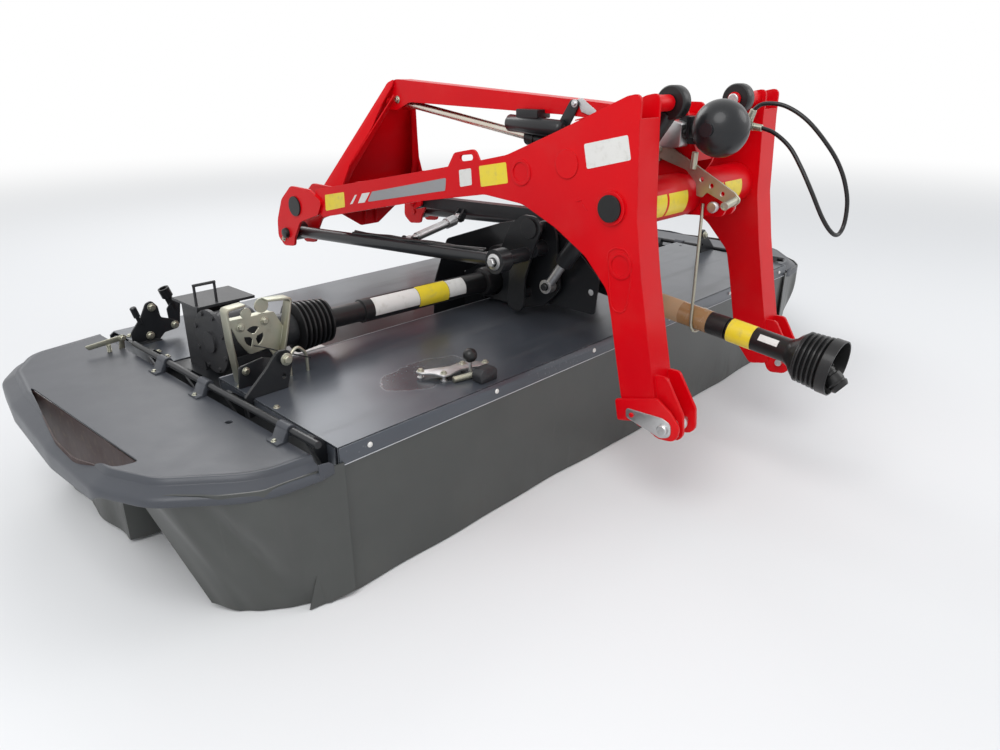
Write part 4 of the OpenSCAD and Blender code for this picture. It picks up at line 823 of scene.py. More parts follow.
sideRoot, sideEnd = Vector((-1.2272, 0.200, 0.660)), Vector((-0.1536, 0.150, 0.655))
sideWay = (sideEnd - sideRoot).normalized()
sideLength = (sideEnd - sideRoot).length
sideGuard = {"profile": [(0.0, 0.060), *ribbed(0.002, 0.150, 0.096, 0.082, 7, 0.020),
             (0.152, 0.052), (0.160, 0.040), (0.306, 0.040), (0.308, 0.0475), (sideLength - 0.115, 0.0475),
                (sideLength - 0.112, 0.060), (sideLength - 0.100, 0.066), (sideLength - 0.012, 0.066),
                (sideLength - 0.002, 0.060), (sideLength, 0.040)],
             "sides": 48, "finish": "black_plastic", "smooth": 32}
sideLabels = {"side_label_white": (0.0479, (0.350, 0.574), (-170, -70), "white_label"),
              "side_label_yellow": (0.0480, (0.576, 0.735), (-178, -55), "yellow_label"),
              "side_label_far": (0.0479, (0.737, 0.832), (-170, -70), "white_label")}
turnedPiece("side_shaft_guard", sideGuard, "deck", sideRoot, sideWay, ("side_shaft",))
for name, look in sideLabels.items():
    patched(name, look, sideRoot, sideWay, "deck")


# Gearbox cluster, stow plate and hood

def hoodZ(y):  # top of the rear hood
    return 0.5238 + 0.0357 * (y + 0.5)


cluster = {"cradle_bolts": ([(-1.466, 0.1195, 0.738), (-1.374, 0.1195, 0.741)], 0.011),
           "foot_plate_bolts": ([(-1.497, 0.062, 0.603), (-1.383, 0.062, 0.594)], 0.010),
           "arm_bolt_left": ([(-1.404, -0.050, 0.650)], 0.015),
           "arm_bolt_right": ([(1.404, -0.050, 0.650)], 0.015)}
for name, (spots, size) in cluster.items():
    hexed(name, spots, (0, -1, 0), size, "deck")
footPlate = {"outline": [(-1.528, 0.5445, 0.002), (-1.345, 0.5445, 0.002), (-1.349, 0.606, 0.01),
                         (-1.430, 0.634, 0.01), (-1.520, 0.622, 0.01)], "thick": 0.008, "face": rearFace,
             "place": (0, 0.070, 0), "rim": 0.001, "finish": "black_paint", "smooth": 30}
platedPiece("cradle_foot_plate", footPlate, "deck")
tieHook = {"route": [(-1.338, 0.046, 0.544), (-1.338, 0.046, 0.618), (-1.303, 0.046, 0.648),
                     (-1.268, 0.046, 0.612), (-1.268, 0.046, 0.544)], "radius": 0.006}
dressed(bentRod("tie_hook", tieHook["route"], tieHook["radius"], 10), "zinc", "deck", 60)
tieStrap = {"route": [(-1.428, 0.116, 0.664), (-1.40, 0.090, 0.655), (-1.34, 0.050, 0.630),
                      (-1.262, 0.030, 0.596)], "radius": 0.0022}
dressed(bentRod("tie_strap", tieStrap["route"], tieStrap["radius"], 6), "black_plastic", "deck", 60)
drainDisc = {"profile": [(0, 0.012), (0.0002, 0.026), (0.006, 0.026), (0.0062, 0.012)],
             "place": (-1.375, 0.132, 0.795), "way": (0, -1, 0), "sides": 32, "finish": "zinc",
             "smooth": 35}
turnedPiece("drain_disc", drainDisc, "deck")

stow = {"side": [(-1.545, 0.5015, 0.002), (-1.546, 0.555, 0.012), (-1.498, 0.610, 0.020),
                 (-1.470, 0.662, 0.020), (-1.444, 0.672, 0.020), (-1.422, 0.642, 0.016),
                 (-1.417, 0.594, 0.016), (-1.352, 0.568, 0.014), (-1.346, 0.532, 0.014),
                 (-1.410, 0.526, 0.016), (-1.436, 0.5015, 0.002)],
        "arm": [(-1.380, 0.540, 0.010), (-1.338, 0.545, 0.010), (-1.322, 0.640, 0.010),
                (-1.350, 0.660, 0.010), (-1.384, 0.620, 0.014)],
        "foot": [(-1.545, 0.870, 0.006), (-1.436, 0.870, 0.006), (-1.436, 0.960, 0.006),
                 (-1.545, 0.960, 0.006)], "sideY": 0.905, "armY": 0.9115, "footZ": 0.5012,
        "thick": (0.008, 0.006, 0.006), "rim": 0.001,
        "grip": [(0, 0.008), (0.030, 0.008), (0.031, 0.013), (0.072, 0.013), (0.075, 0.010)],
        "gripPlace": (-1.505, 0.892, 0.588), "gripWay": (-0.016, 0, 0.060),
        "bolts": [(-1.448, 0.897, 0.644), (-1.364, 0.897, 0.549), (-1.472, 0.897, 0.5275)],
        "boltSize": 0.012}
sideThick, armThick, footThick = stow["thick"]
parts = [plated("stow_side", roundedOutline(stow["side"], 5), sideThick, rearFace, (0, stow["sideY"], 0),
                stow["rim"]),
         plated("stow_arm", roundedOutline(stow["arm"], 5), armThick, rearFace, (0, stow["armY"], 0),
                stow["rim"]),
         plated("stow_foot", roundedOutline(stow["foot"]), footThick, topFace, (0, 0, stow["footZ"]),
                stow["rim"]), turned("stow_grip", stow["grip"], stow["gripPlace"], stow["gripWay"], 20)]
dressed(joined("stow_plate", parts), "black_paint", "deck", 30, True, ("stow_bracket",))
hexed("stow_bolts", stow["bolts"], (0, -1, 0), stow["boltSize"], "deck")
stowTube = {"profile": [(0, 0.016), (0.058, 0.016), (0.060, 0.023), (0.100, 0.023), (0.1002, 0.016),
                        (0.080, 0.016)], "place": (-1.346, 0.920, 0.612), "way": (-0.041, 0, 0.119),
            "sides": 28, "finish": "black_plastic", "smooth": 35}
turnedPiece("stow_tube", stowTube, "deck")

latch = {"lever": [(-1.735, 0.550, 0.006), (-1.720, 0.531, 0.006), (-1.600, 0.540, 0.020),
                   (-1.578, 0.538, 0.008), (-1.570, 0.556, 0.008), (-1.590, 0.562, 0.010)],
         "lug": [(-1.606, 0.5045, 0), (-1.584, 0.5045, 0), (-1.580, 0.556, 0.006), (-1.598, 0.556, 0.006)],
         "leverY": 0.885, "lugY": 0.891, "thick": 0.006, "rim": 0.001,
         "springPlace": (-1.645, 0.882, 0.5045), "springHigh": 0.0315, "springRadius": 0.009,
         "bolt": (-1.589, 0.879, 0.550), "boltSize": 0.010}
spring = ribbed(0, latch["springHigh"], latch["springRadius"], latch["springRadius"], 6, 0.0025)
parts = [plated(f"latch_{name}", roundedOutline(latch[name], 5), latch["thick"], rearFace,
                (0, latch[f"{name}Y"], 0), latch["rim"]) for name in ("lever", "lug")]
parts.append(turned("latch_spring", spring, latch["springPlace"], (0, 0, 1), 18))
dressed(joined("guard_latch", parts), "zinc", "guard_left", 35)
hexed("latch_bolt", [latch["bolt"]], (0, -1, 0), latch["boltSize"], "guard_left")

flange = {"outline": [(-1.530, 0.464, 0.002), (1.530, 0.464, 0.002), (1.530, 0.5235, 0.002),
                      (-1.530, 0.5235, 0.002)], "thick": 0.0035, "face": rearFace, "place": (0, -0.5035, 0),
          "rim": 0.001, "finish": "sheet_grey", "smooth": 30}
platedPiece("rear_flange", flange, "deck")
hoodLook = {"rivetX": (-1.42, -0.86, -0.286, 0.29, 0.865, 1.446), "rivetSize": 0.009, "edge": 0.0016,
            "edges": {"flange_foot_highlight": [(-1.529, -0.5072, 0.4655), (1.529, -0.5072, 0.4655)],
                      "ridge_highlight": [(-1.529, 0.1985, 0.5500), (1.529, 0.1985, 0.5500)]}, "boltX": 1.512,
            "hoodBoltY": (-0.142, 0.086), "troughBoltY": (0.66, 0.74, 1.02), "troughBoltZ": 0.5062,
            "boltSize": 0.008, "label": [(-1180, 300), (-1010, 300), (-1010, 352), (-1180, 352)],
            "labelZ": 0.5006}
domed("flange_rivets", [(x, -0.507, 0.497) for x in hoodLook["rivetX"]], (0, -1, 0), hoodLook["rivetSize"],
      "deck", "white_label")
# thin light grey lines along the flange foot and the hood ridge: painted highlights, not real parts
for name, line in hoodLook["edges"].items():
    dressed(bentRod(name, line, hoodLook["edge"], 8, False), "light_edge", "deck", 60)
boltX, boltSize = hoodLook["boltX"], hoodLook["boltSize"]
hexed("hood_bolts_left", [(-boltX, y, hoodZ(y)) for y in hoodLook["hoodBoltY"]], (0, 0, 1), boltSize, "deck")
hexed("trough_bolts",
      [(x, y, hoodLook["troughBoltZ"]) for x in (-boltX, boltX) for y in hoodLook["troughBoltY"]],
      (0, 0, 1), boltSize, "deck")
stuck("trough_label", hoodLook["label"], topFace, (0, 0, hoodLook["labelZ"]), "deck", "white_label", 0.002)


# Height adjuster on the hood

adjuster = {"feet": [(-1.013, -0.278), (-0.973, -0.356), (-0.859, -0.334), (-0.794, -0.385)],
            "plateZ": 0.548, "thick": 0.008,
            "plate": [(-1.030, -0.262, 0.010), (-1.026, -0.296, 0.010), (-0.998, -0.320, 0.030),
                      (-0.990, -0.374, 0.010), (-0.955, -0.376, 0.010), (-0.900, -0.366, 0.020),
                      (-0.805, -0.404, 0.012), (-0.775, -0.380, 0.012), (-0.845, -0.316, 0.012),
                      (-0.905, -0.318, 0.030)], "knob": Vector((-0.881, -0.396, 0.610)), "ball": 0.026,
            "stemLow": 0.084, "boltSize": 0.009,
            "spring": {"profile": ribbed(0, 0.096, 0.0115, 0.0115, 16, 0.0022),
                       "place": (-0.963, -0.394, 0.5395), "way": (0.087, -0.024, 0.003), "sides": 20,
                       "finish": "zinc", "smooth": 40},
            "stem": {"profile": [(0, 0.009), (0.012, 0.009), (0.0122, 0.0062), (0.060, 0.0062)],
                     "way": (0, 0, 1), "sides": 16, "finish": "bright_steel", "smooth": 40},
            "block": {"outline": [(-0.905, 0.5256, 0.010), (-0.912, 0.560, 0.020), (-0.893, 0.577, 0.008),
                                  (-0.838, 0.577, 0.012), (-0.822, 0.562, 0.015), (-0.826, 0.5256, 0.006)],
                      "steps": 5, "thick": 0.045, "face": rearFace, "place": (0, -0.432, 0), "rim": 0.004,
                      "finish": "cast_grey", "smooth": 35}}
plateZ, ballRadius = adjuster["plateZ"], adjuster["ball"]
parts = [plated("adjuster_top", roundedOutline(adjuster["plate"]), adjuster["thick"], topFace,
                (0, 0, plateZ), 0.0015)]
for k, (x, y) in enumerate(adjuster["feet"]):
    foot = [(0, 0.013), (0.003, 0.013), (0.0032, 0.007), (plateZ - 0.0002 - hoodZ(y), 0.007)]
    parts.append(turned(f"foot_{k}", foot, (x, y, hoodZ(y) + 0.0002), (0, 0, 1), 20))
dressed(joined("adjuster_plate", parts), "bright_steel", "deck", 30, True, ("deck_adjuster",))
hexed("adjuster_bolts", [(x, y, plateZ + adjuster["thick"]) for x, y in adjuster["feet"]], (0, 0, 1),
      adjuster["boltSize"], "deck")
turnedPiece("adjuster_spring", adjuster["spring"], "deck")
arc = [math.radians(angle) for angle in range(12, 169, 12)]
ball = [(-ballRadius * math.cos(angle), ballRadius * math.sin(angle)) for angle in arc]
dressed(turned("adjuster_knob", ball, adjuster["knob"], (0, 0, 1), 28), "black_plastic", "deck", 60)
turnedPiece("adjuster_stem", adjuster["stem"], "deck", adjuster["knob"] - Vector((0, 0, adjuster["stemLow"])))
platedPiece("adjuster_block", adjuster["block"], "deck")
print("deck dressed")


# Guards: a rim of offset outlines round a flat top, cut by the grip opening, which has a liner and a back

opening = {"outer": 2.090, "linerZ": (0.4555, 0.4945), "wall": 0.003, "backTop": 0.4965,
           "corners": [(-0.140, -0.118, 0.014), (-0.078, -0.104, 0.050), (-0.024, 0.060, 0.200),
                       (-0.028, 0.230, 0.240), (-0.108, 0.740, 0.008)],
           "back": [(-0.1375, -0.110, 0.440), (-0.134, 0.020, 0.380), (-0.128, 0.200, 0.322),
                    (-0.120, 0.430, 0.312), (-0.109, 0.715, 0.330)]}
# The rim's steps are inset, share of the way from lip to top, and rise
guardForm = {"hingeX": 1.575, "hingeZ": 0.540, "innerX": 1.589, "wall": 0.005,
             "tabs": (-0.330, 0.180, 0.500), "tabWide": 0.060,
             "bolts": [(1.620, y, 0.5103) for y in (-0.30, 0.21, 0.53)], "boltSize": 0.007, "topZ": 0.4585,
             "lipZ": 0.400, "lipRise": 0.046, "riseFrom": -0.020, "riseOver": 0.13,
             "hole": (1.642, -0.066, 0.48), "holeRadius": 0.012, "edge": 0.0022, "edgeAngle": 55,
             "cutZ": 0.36, "cutHigh": 0.2, "holeDeep": 0.06,
             "plan": [(1.375, -0.510, 0), (1.770, -0.500, 0.300), (2.010, -0.292, 0.200),
                      (2.086, -0.110, 0.160), (2.090, 0.250, 0.600), (2.060, 0.700, 0.400),
                      (2.020, 0.950, 0.150), (1.900, 1.140, 0.200), (1.375, 1.200, 0)],
             "rim": [(0.009, 0.00, 0), (0.001, 0.02, 0), (0.0, 0.3, 0), (0.0, 1.0, -0.004),
                     (0.0015, 1, 0.005), (0.006, 1, 0.0115), (0.013, 1, 0.0155), (0.046, 1, 0.0315),
                     (0.049, 1, 0.0375), (0.053, 1, 0.0435), (0.057, 1, 0.0475), (0.062, 1, 0.0487),
                     (0.066, 1, 0.0477), (0.070, 1, 0.0465), (0.076, 1, 0.0465)],
             "tab": [(1.585, 0.530), (1.592, 0.543), (1.599, 0.534), (1.609, 0.513), (1.630, 0.5105),
                     (1.630, 0.5052), (1.591, 0.5052)],
             "barrel": [(0, 0.0125), (0.0001, 0.018), (0.060, 0.018), (0.0601, 0.0125)],
             "lug": [(1.553, 0.452, 0.004), (1.605, 0.446, 0.002), (1.605, 0.500, 0.002),
                     (1.565, 0.494, 0.012), (1.553, 0.480, 0.010)], "lugY": -0.504}


def ringed(name, outline, low, high, thick):  # an upright band that follows an outline
    alone()
    bpy.ops.mesh.primitive_circle_add(vertices=len(outline), radius=1, fill_type="NOTHING",
                                      location=(0, 0, 0))
    piece = started(name)
    for vertex, spot in zip(piece.data.vertices, outline):
        vertex.co = (spot[0], spot[1], low)
    bpy.ops.object.mode_set(mode="EDIT")
    bpy.ops.mesh.select_all(action="SELECT")
    bpy.ops.mesh.extrude_region_move(TRANSFORM_OT_translate={"value": (0, 0, high - low)})
    bpy.ops.object.mode_set(mode="OBJECT")
    return thickened(piece, thick)


def insetBy(outline, distance):
    moved = []
    count = len(outline)
    for i, spot in enumerate(outline):
        here = Vector(spot)
        back = (here - Vector(outline[i - 1])).normalized()
        ahead = (Vector(outline[(i + 1) % count]) - here).normalized()
        inward = Vector((-back.y - ahead.y, back.x + ahead.x))
        if inward.length < 1e-6:
            inward = Vector((-back.y, back.x))
        inward.normalize()
        moved.append(here + inward * distance / max(0.5, abs(inward.dot(Vector((-back.y, back.x))))))
    return moved


def rimmed(name):  # the right-hand guard, as an open shell
    outline = roundedOutline(guardForm["plan"], 10)
    count = len(outline)
    alone()
    bpy.ops.mesh.primitive_circle_add(vertices=count, radius=1, fill_type="NOTHING", location=(0, 0, 0))
    piece = started(name)
    bpy.ops.object.mode_set(mode="EDIT")
    bpy.ops.mesh.select_all(action="SELECT")
    for k in range(len(guardForm["rim"]) - 1):
        bpy.ops.mesh.extrude_region_move(TRANSFORM_OT_translate={"value": (0, 0, 1)})
    bpy.ops.mesh.edge_face_add()
    bpy.ops.object.mode_set(mode="OBJECT")
    loops = {}
    for vertex in piece.data.vertices:
        loops.setdefault(round(vertex.co.z), []).append(vertex)
    for level, (inset, share, rise) in enumerate(guardForm["rim"]):
        ring = sorted(loops[level], key=lambda v: math.atan2(v.co.y, v.co.x) % (2 * math.pi))
        start = min(range(count), key=lambda i: abs(math.atan2(ring[i].co.y, ring[i].co.x)))
        ring = ring[start:] + ring[:start]
        for vertex, spot in zip(ring, insetBy(outline, inset)):
            lift = min(max((guardForm["riseFrom"] - spot.y) / guardForm["riseOver"], 0), 1)
            lip = guardForm["lipZ"] + guardForm["lipRise"] * lift * lift * (3 - 2 * lift)
            vertex.co = (max(spot.x, guardForm["innerX"]), spot.y,
                         lip + share * (guardForm["topZ"] - lip) + rise)
    bpy.ops.object.mode_set(mode="EDIT")
    bpy.ops.mesh.select_all(action="DESELECT")
    bpy.ops.object.mode_set(mode="OBJECT")
    for face in piece.data.polygons:  # the side that faces the hinge stays open
        spots = [piece.data.vertices[i].co for i in face.vertices]
        face.select = len(spots) == 4 and all(abs(p.x - guardForm["innerX"]) < 1e-5 for p in spots)
    bpy.ops.object.mode_set(mode="EDIT")
    bpy.ops.mesh.select_mode(type="FACE")
    bpy.ops.mesh.delete(type="FACE")
    bpy.ops.mesh.select_mode(type="VERT")
    bpy.ops.mesh.select_all(action="SELECT")
    bpy.ops.mesh.remove_doubles(threshold=0.00005)
    bpy.ops.mesh.normals_make_consistent(inside=False)
    bpy.ops.object.mode_set(mode="OBJECT")
    return thickened(piece, guardForm["wall"], -1)


def cutBy(piece, cutter):
    cut = piece.modifiers.new("cut", "BOOLEAN")
    cut.operation = "DIFFERENCE"
    cut.solver = "EXACT"
    cut.object = cutter
    applyAll(piece)
    bpy.data.objects.remove(cutter)


def hangingPlate(name, line, high, thick):  # a plate that follows a line seen from above
    alone()
    bpy.ops.mesh.primitive_grid_add(x_subdivisions=len(line) - 1, y_subdivisions=1, size=1,
                                    location=(0, 0, 0))
    piece = started(name)
    for vertex in piece.data.vertices:
        x, y, foot = line[round((vertex.co.x + 0.5) * (len(line) - 1))]
        vertex.co = (x, y, foot if vertex.co.y < 0 else high)
    return thickened(piece, thick)


for flip, body in ((1, "guard_right"), (-1, "guard_left")):
    outline = [(flip * (opening["outer"] + u), v) for u, v in roundedOutline(opening["corners"], 6)]
    dressed(ringed(f"{body}_grip_liner", outline, *opening["linerZ"], opening["wall"]), "grip_red", body, 40)
    hexed(f"{body}_bolts", [(flip * x, y, z) for x, y, z in guardForm["bolts"]], (0, 0, 1),
          guardForm["boltSize"], body)
    shell = rimmed(f"{body}_shell")
    outline = [(opening["outer"] + u, v) for u, v in roundedOutline(opening["corners"], 8)]
    cutBy(shell, plated("opening_cutter", outline, guardForm["cutHigh"], topFace, (0, 0, guardForm["cutZ"])))
    drill = [(0, guardForm["holeRadius"]), (guardForm["holeDeep"], guardForm["holeRadius"])]
    cutBy(shell, turned("hole_cutter", drill, guardForm["hole"], (0, 0, 1), 24))
    edge = shell.modifiers.new("lip", "BEVEL")
    edge.width = guardForm["edge"]
    edge.segments = 2
    edge.limit_method = "ANGLE"
    edge.angle_limit = math.radians(guardForm["edgeAngle"])
    applyAll(shell)
    pieces = [shell]
    for k, y in enumerate(guardForm["tabs"]):
        pieces.append(plated(f"tab_{k}", guardForm["tab"], guardForm["tabWide"], frontFace, (0, y, 0), 0.001))
        pieces.append(turned(f"barrel_{k}", guardForm["barrel"],
                             (guardForm["hingeX"], y, guardForm["hingeZ"]), (0, 1, 0), 28))
    lug = roundedOutline(guardForm["lug"])
    pieces.append(plated("corner_lug", lug, guardForm["wall"], rearFace, (0, guardForm["lugY"], 0), 0.001))
    whole = joined(f"{body}_shell", pieces)
    if flip < 0:
        whole.data.transform(Matrix.Scale(-1, 4, (1, 0, 0)))
    dressed(whole, "guard_grey", body, 31, True, (body,))
    back = [(flip * (opening["outer"] + u), v, low) for u, v, low in opening["back"]]
    dressed(hangingPlate(f"{body}_grip_back", back, opening["backTop"], opening["wall"]), "grip_red", body,
            40)
print("guards shaped")


# Galvanised cradle in front of the side gearbox: two folded arms and a plate with a fan-shaped cut-out

cradle = {"arms": {"left": [(-1.506, 0.545, 0), (-1.520, 0.700, 0.05), (-1.524, 0.818, 0.016),
                            (-1.452, 0.822, 0), (-1.452, 0.814, 0), (-1.515, 0.810, 0.010),
                            (-1.512, 0.700, 0.05), (-1.498, 0.545, 0)],
                   "right": [(-1.348, 0.560, 0), (-1.310, 0.690, 0.05), (-1.282, 0.803, 0.010),
                             (-1.369, 0.813, 0), (-1.369, 0.821, 0), (-1.272, 0.812, 0.016),
                             (-1.301, 0.690, 0.05), (-1.338, 0.560, 0)]},
          "plate": [(-1.508, 0.768, 0.010), (-1.335, 0.766, 0.010), (-1.303, 0.700, 0.010),
                    (-1.345, 0.585, 0.012), (-1.372, 0.640, 0.020), (-1.446, 0.634, 0.020),
                    (-1.480, 0.690, 0.030)],
          "fold": [(-1.500, 0.764), (-1.345, 0.762), (-1.345, 0.767), (-1.500, 0.769)], "foldY": 0.152,
          "foldDeep": 0.030, "fan": (-1.421, 0.695), "fanReach": (0.011, 0.037), "fanCut": (0.03, 0.135),
          "front": 0.092, "deep": 0.044, "plateY": 0.1245, "plateThick": 0.005,
          "boss": [(0, 0.019), (0.006, 0.019), (0.0062, 0.008)], "bossPlace": (-1.452, 0.100, 0.790)}
cradlePlate = plated("cradle_plate", roundedOutline(cradle["plate"]), cradle["plateThick"], rearFace,
                     (0, cradle["plateY"], 0))
(fanX, fanZ), (cutDeep, cutY) = cradle["fan"], cradle["fanCut"]
for k in range(3):
    sector = []
    for radius, angles in zip(cradle["fanReach"], ((30, 0, -30), (-40, -20, 0, 20, 40))):
        for angle in angles:
            turn = math.radians(90 + 120 * k + angle)
            sector.append((fanX + radius * math.cos(turn), fanZ + radius * math.sin(turn)))
    cutBy(cradlePlate, plated("fan_cutter", sector, cutDeep, rearFace, (0, cutY, 0)))
cradlePieces = [cradlePlate]
for name, outline in cradle["arms"].items():
    cradlePieces.append(plated(f"cradle_arm_{name}", roundedOutline(outline, 5), cradle["deep"], rearFace,
                               (0, cradle["front"] + cradle["deep"], 0), 0.0012))
cradlePieces.append(plated("cradle_fold", cradle["fold"], cradle["foldDeep"], rearFace,
                           (0, cradle["foldY"], 0)))
cradlePieces.append(turned("cradle_boss", cradle["boss"], cradle["bossPlace"], (0, -1, 0), 20))
dressed(joined("cradle_frame", cradlePieces), "zinc", "deck", 30, True, ("gearbox_cradle",))
print("cradle built")


# Front arch: two splayed legs with a return along their rear edge, a web between them, a skirt and ribs

arch = {"foot": (0.326, 1.262, 0.935), "top": (0.051, 0.960, 1.500), "leg": 0.012, "return": 0.008,
        "web": 0.010, "back": 0.035, "webSet": 0.012, "rim": 0.002, "skirtY": 1.315,
        "ribX": (-0.045, 0.033), "lean": (-0.4714, 0.8819),
        "returnLine": [(0.322, 0.0), (0.236, 0.0), (0.205, 0.16), (0.058, 0.56), (0.068, 0.590)],
        "webLine": [(-0.318, -0.01), (0.318, -0.01), (0.062, 0.585), (0.046, 0.610), (-0.046, 0.610),
                    (-0.062, 0.585)],
        "skirt": [(-0.330, 0.965, 0.01), (-0.330, 0.900, 0.02), (-0.180, 0.810, 0.02),
                  (-0.060, 0.735, 0.02), (0.060, 0.735, 0.02), (0.180, 0.810, 0.02), (0.330, 0.900, 0.02),
                  (0.330, 0.965, 0.01)],
        "rib": [(1.262, 0.905), (1.318, 0.905), (1.318, 0.750), (1.300, 0.742)]}
leanY, leanZ = arch["lean"]
archOut = Vector((0, leanZ, -leanY))
archFoot = Vector((0, *arch["foot"][1:]))
webTurn = Matrix(((1, 0, 0, 0), (0, leanY, -archOut.y, 0), (0, leanZ, -archOut.z, 0), (0, 0, 0, 1)))
archPieces = []
for flip in (-1, 1):
    foot = Vector((flip * arch["foot"][0], *arch["foot"][1:]))
    top = Vector((flip * arch["top"][0], *arch["top"][1:]))
    along, reach = (top - foot).normalized(), (top - foot).length
    side = archOut.cross(along)
    legTurn = Matrix([(archOut[i], along[i], side[i], 0) for i in range(3)] + [(0, 0, 0, 1)])
    leg = roundedOutline([(-0.095, -0.03, 0), (arch["back"], -0.03, 0), (arch["back"], reach - 0.03, 0.02),
                          (0.010, reach + 0.008, 0.015), (-0.002, reach - 0.03, 0.01),
                          (-0.008, reach - 0.13, 0.05), (-0.035, reach - 0.26, 0.05), (-0.040, 0.22, 0.06),
                          (-0.095, 0.05, 0.02)], 5)
    place = foot - side * (arch["leg"] if flip > 0 else 0)
    archPieces.append(plated(f"arch_leg_{flip}", leg, arch["leg"], legTurn, place, arch["rim"]))
    rear = [(flip * x, up) for x, up in arch["returnLine"]]
    if flip > 0:
        rear.reverse()
    archPieces.append(plated(f"arch_return_{flip}", rear, arch["return"], webTurn,
                             archFoot - archOut * arch["back"], arch["rim"]))
archPieces.append(plated("arch_web", arch["webLine"], arch["web"], webTurn,
                         archFoot + archOut * arch["webSet"], arch["rim"]))
archPieces.append(plated("arch_skirt", roundedOutline(arch["skirt"]), arch["leg"], rearFace,
                         (0, arch["skirtY"], 0), arch["rim"]))
for k, x in enumerate(arch["ribX"]):
    archPieces.append(plated(f"arch_rib_{k}", arch["rib"], arch["leg"], rightFace, (x, 0, 0), 0.001))
dressed(joined("arch_frame", archPieces), "frame_red", "frame", 30, True, ("front_arch",))
print("arch built")


# Leg feet: folded boot, and locking strip with its pin head

foot = {"boot": {"outline": [(-0.772, 0.436, 0.012), (-0.789, 0.356, 0.010), (-0.872, 0.377, 0.012),
                             (-0.962, 0.338, 0.04), (-1.030, 0.345, 0.05), (-1.046, 0.400, 0.045),
                             (-1.000, 0.452, 0.03), (-0.945, 0.488, 0.02)], "steps": 5, "thick": 0.013,
                 "rim": 0.003, "finish": "frame_red", "smooth": 35},
        "strip": {"outline": [(-0.826, 0.418, 0.012), (-0.828, 0.382, 0.012), (-0.975, 0.346, 0.030),
                              (-1.015, 0.362, 0.030), (-1.012, 0.412, 0.030), (-0.975, 0.424, 0.020)],
                  "steps": 5, "thick": 0.005, "rim": 0.001, "finish": "bright_steel", "smooth": 35},
        "pin": {"profile": [(0, 0.020), (0.010, 0.020), (0.014, 0.0165)], "sides": 28,
                "finish": "bright_steel", "smooth": 35}, "bootX": 0.5003, "stripX": 0.5135, "pinX": 0.5185,
        "boltX": 0.5133, "pinYz": (-0.984, 0.383), "boltYz": (-0.852, 0.398), "boltSize": 0.010}
for side, (flip, face) in bothSides.items():
    out = (flip, 0, 0)
    platedPiece(f"boot_{side}", foot["boot"], "frame", face, (flip * foot["bootX"], 0, 0))
    platedPiece(f"lock_strip_{side}", foot["strip"], "frame", face, (flip * foot["stripX"], 0, 0))
    turnedPiece(f"lock_pin_{side}", foot["pin"], "frame", (flip * foot["pinX"], *foot["pinYz"]), out)
    hexed(f"lock_bolt_{side}", [(flip * foot["boltX"], *foot["boltYz"])], out, foot["boltSize"], "frame",
          "frame_red")
print("feet dressed")


# Lower links: their rear pins, and two hoses along the left one

link = {"pin": (-0.124, 0.830), "washerX": 0.4700, "nutX": 0.4760, "nutSize": 0.019, "sides": 32,
        "smooth": 35, "profile": [(-0.001, 0.034), (0.004, 0.034), (0.006, 0.031)],
        "finish": "bright_steel", "hoses": ((-0.442, 0.008), (-0.428, 0.009)), "hoseRadius": 0.007,
        "hoseFront": 0.86, "hoseStep": 0.09, "slope": 0.05288, "hoseZ": 0.8542, "wave": 0.003}
for side, (flip, face) in bothSides.items():
    out = (flip, 0, 0)
    turnedPiece(f"link_washer_{side}", link, f"lower_link_{side}", (flip * link["washerX"], *link["pin"]),
                out)
    hexed(f"link_nut_{side}", [(flip * link["nutX"], *link["pin"])], out, link["nutSize"], "deck",
          "bright_steel", False)
hoseLines = []
for k, (x, lift) in enumerate(link["hoses"]):
    route = []
    for i in range(11):
        y = link["hoseFront"] - i * link["hoseStep"]
        drop = (y - link["pin"][0]) * link["slope"]
        route.append((x, y, link["hoseZ"] - drop + lift + link["wave"] * math.sin(y * 21 + k * 2)))
    hoseLines.append(bentRod(f"link_hose_{k}", route, link["hoseRadius"], 10))
dressed(joined("link_hoses", hoseLines), "hose_rubber", "lower_link_left", 60)
print("links dressed")


# Floor, light and backdrop

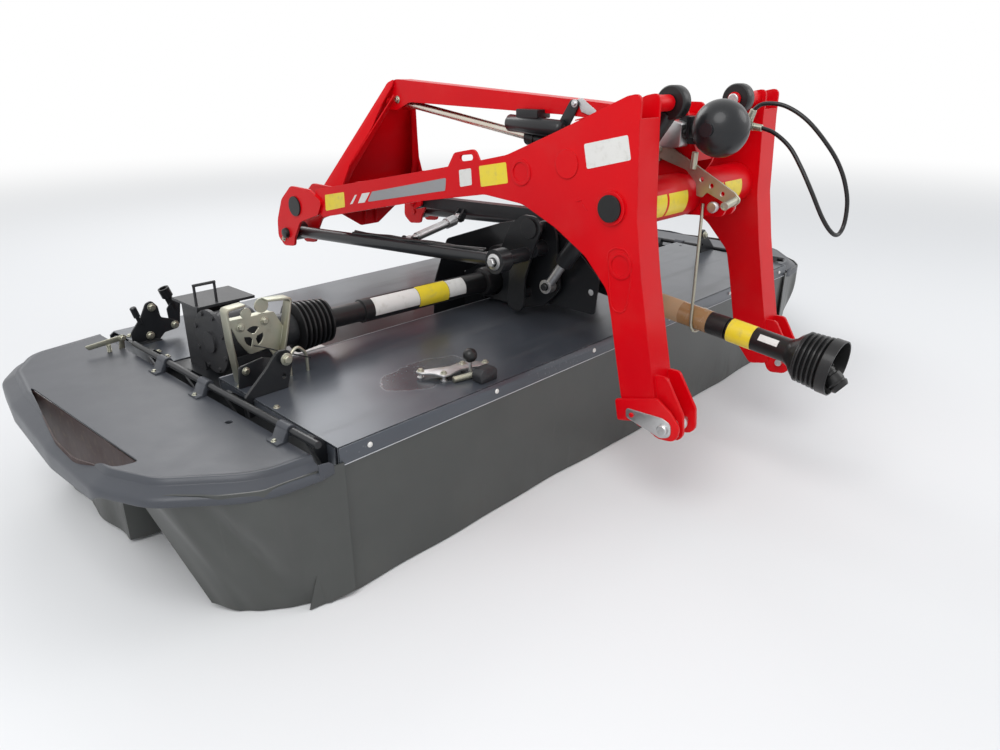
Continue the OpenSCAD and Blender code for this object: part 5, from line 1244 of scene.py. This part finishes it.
alone()
bpy.ops.mesh.primitive_circle_add(vertices=96, radius=40, fill_type="NGON", location=(0, 0, -0.001))
floor = started("floor")
ground = Finish("floor_plain")
spread = ground.node("ShaderNodeVectorMath", {"operation": "LENGTH"}, [ground.place], "Value").ramp(4, 14)
matt = ground.node("ShaderNodeBsdfDiffuse", {}, {"Color": (0.80, 0.80, 0.80, 1)})
glow = ground.node("ShaderNodeEmission", {}, {"Color": (1, 1, 1, 1), "Strength": 1.0})
ground.output(ground.node("ShaderNodeMixShader", {}, [spread, matt, glow]))
floor.data.materials.append(ground.material)

world = bpy.data.worlds.new("studio")
scene.world = world
world.use_nodes = True
world.node_tree.nodes.clear()
sky, wires = world.node_tree.nodes, world.node_tree.links
rays = sky.new("ShaderNodeLightPath")
seen = rays.outputs["Is Camera Ray"]
for kind in ("Is Glossy Ray", "Is Transmission Ray"):
    either = sky.new("ShaderNodeMath")
    either.operation = "MAXIMUM"
    wires.new(seen, either.inputs[0])
    wires.new(rays.outputs[kind], either.inputs[1])
    seen = either.outputs[0]
mixed = sky.new("ShaderNodeMixShader")
wires.new(seen, mixed.inputs[0])
backgrounds = [((0.93, 0.96, 1.0, 1), 0.72), ((1, 1, 1, 1), 1.0)]  # light, then what the camera sees
for k, (colour, strength) in enumerate(backgrounds):
    background = sky.new("ShaderNodeBackground")
    background.inputs["Color"].default_value = colour
    background.inputs["Strength"].default_value = strength
    wires.new(background.outputs[0], mixed.inputs[k + 1])
out = sky.new("ShaderNodeOutputWorld")
wires.new(mixed.outputs[0], out.inputs["Surface"])

lamps = {"key": ((-4.5, -2.0, 6.0), 5.0, 260), "fill": ((4.5, -4.5, 4.5), 4.0, 90),
         "back": ((1.5, 6.0, 5.0), 4.0, 120)}
lampAim = Vector((0, 0, 0.6))
for name, (place, size, power) in lamps.items():
    bpy.ops.object.light_add(type="AREA", location=place)
    lamp = bpy.context.object
    lamp.name = name
    lamp.data.shape = "DISK"
    lamp.data.size = size
    lamp.data.energy = power
    lamp.rotation_euler = (lampAim - Vector(place)).to_track_quat("-Z", "Y").to_euler()
print("studio set")
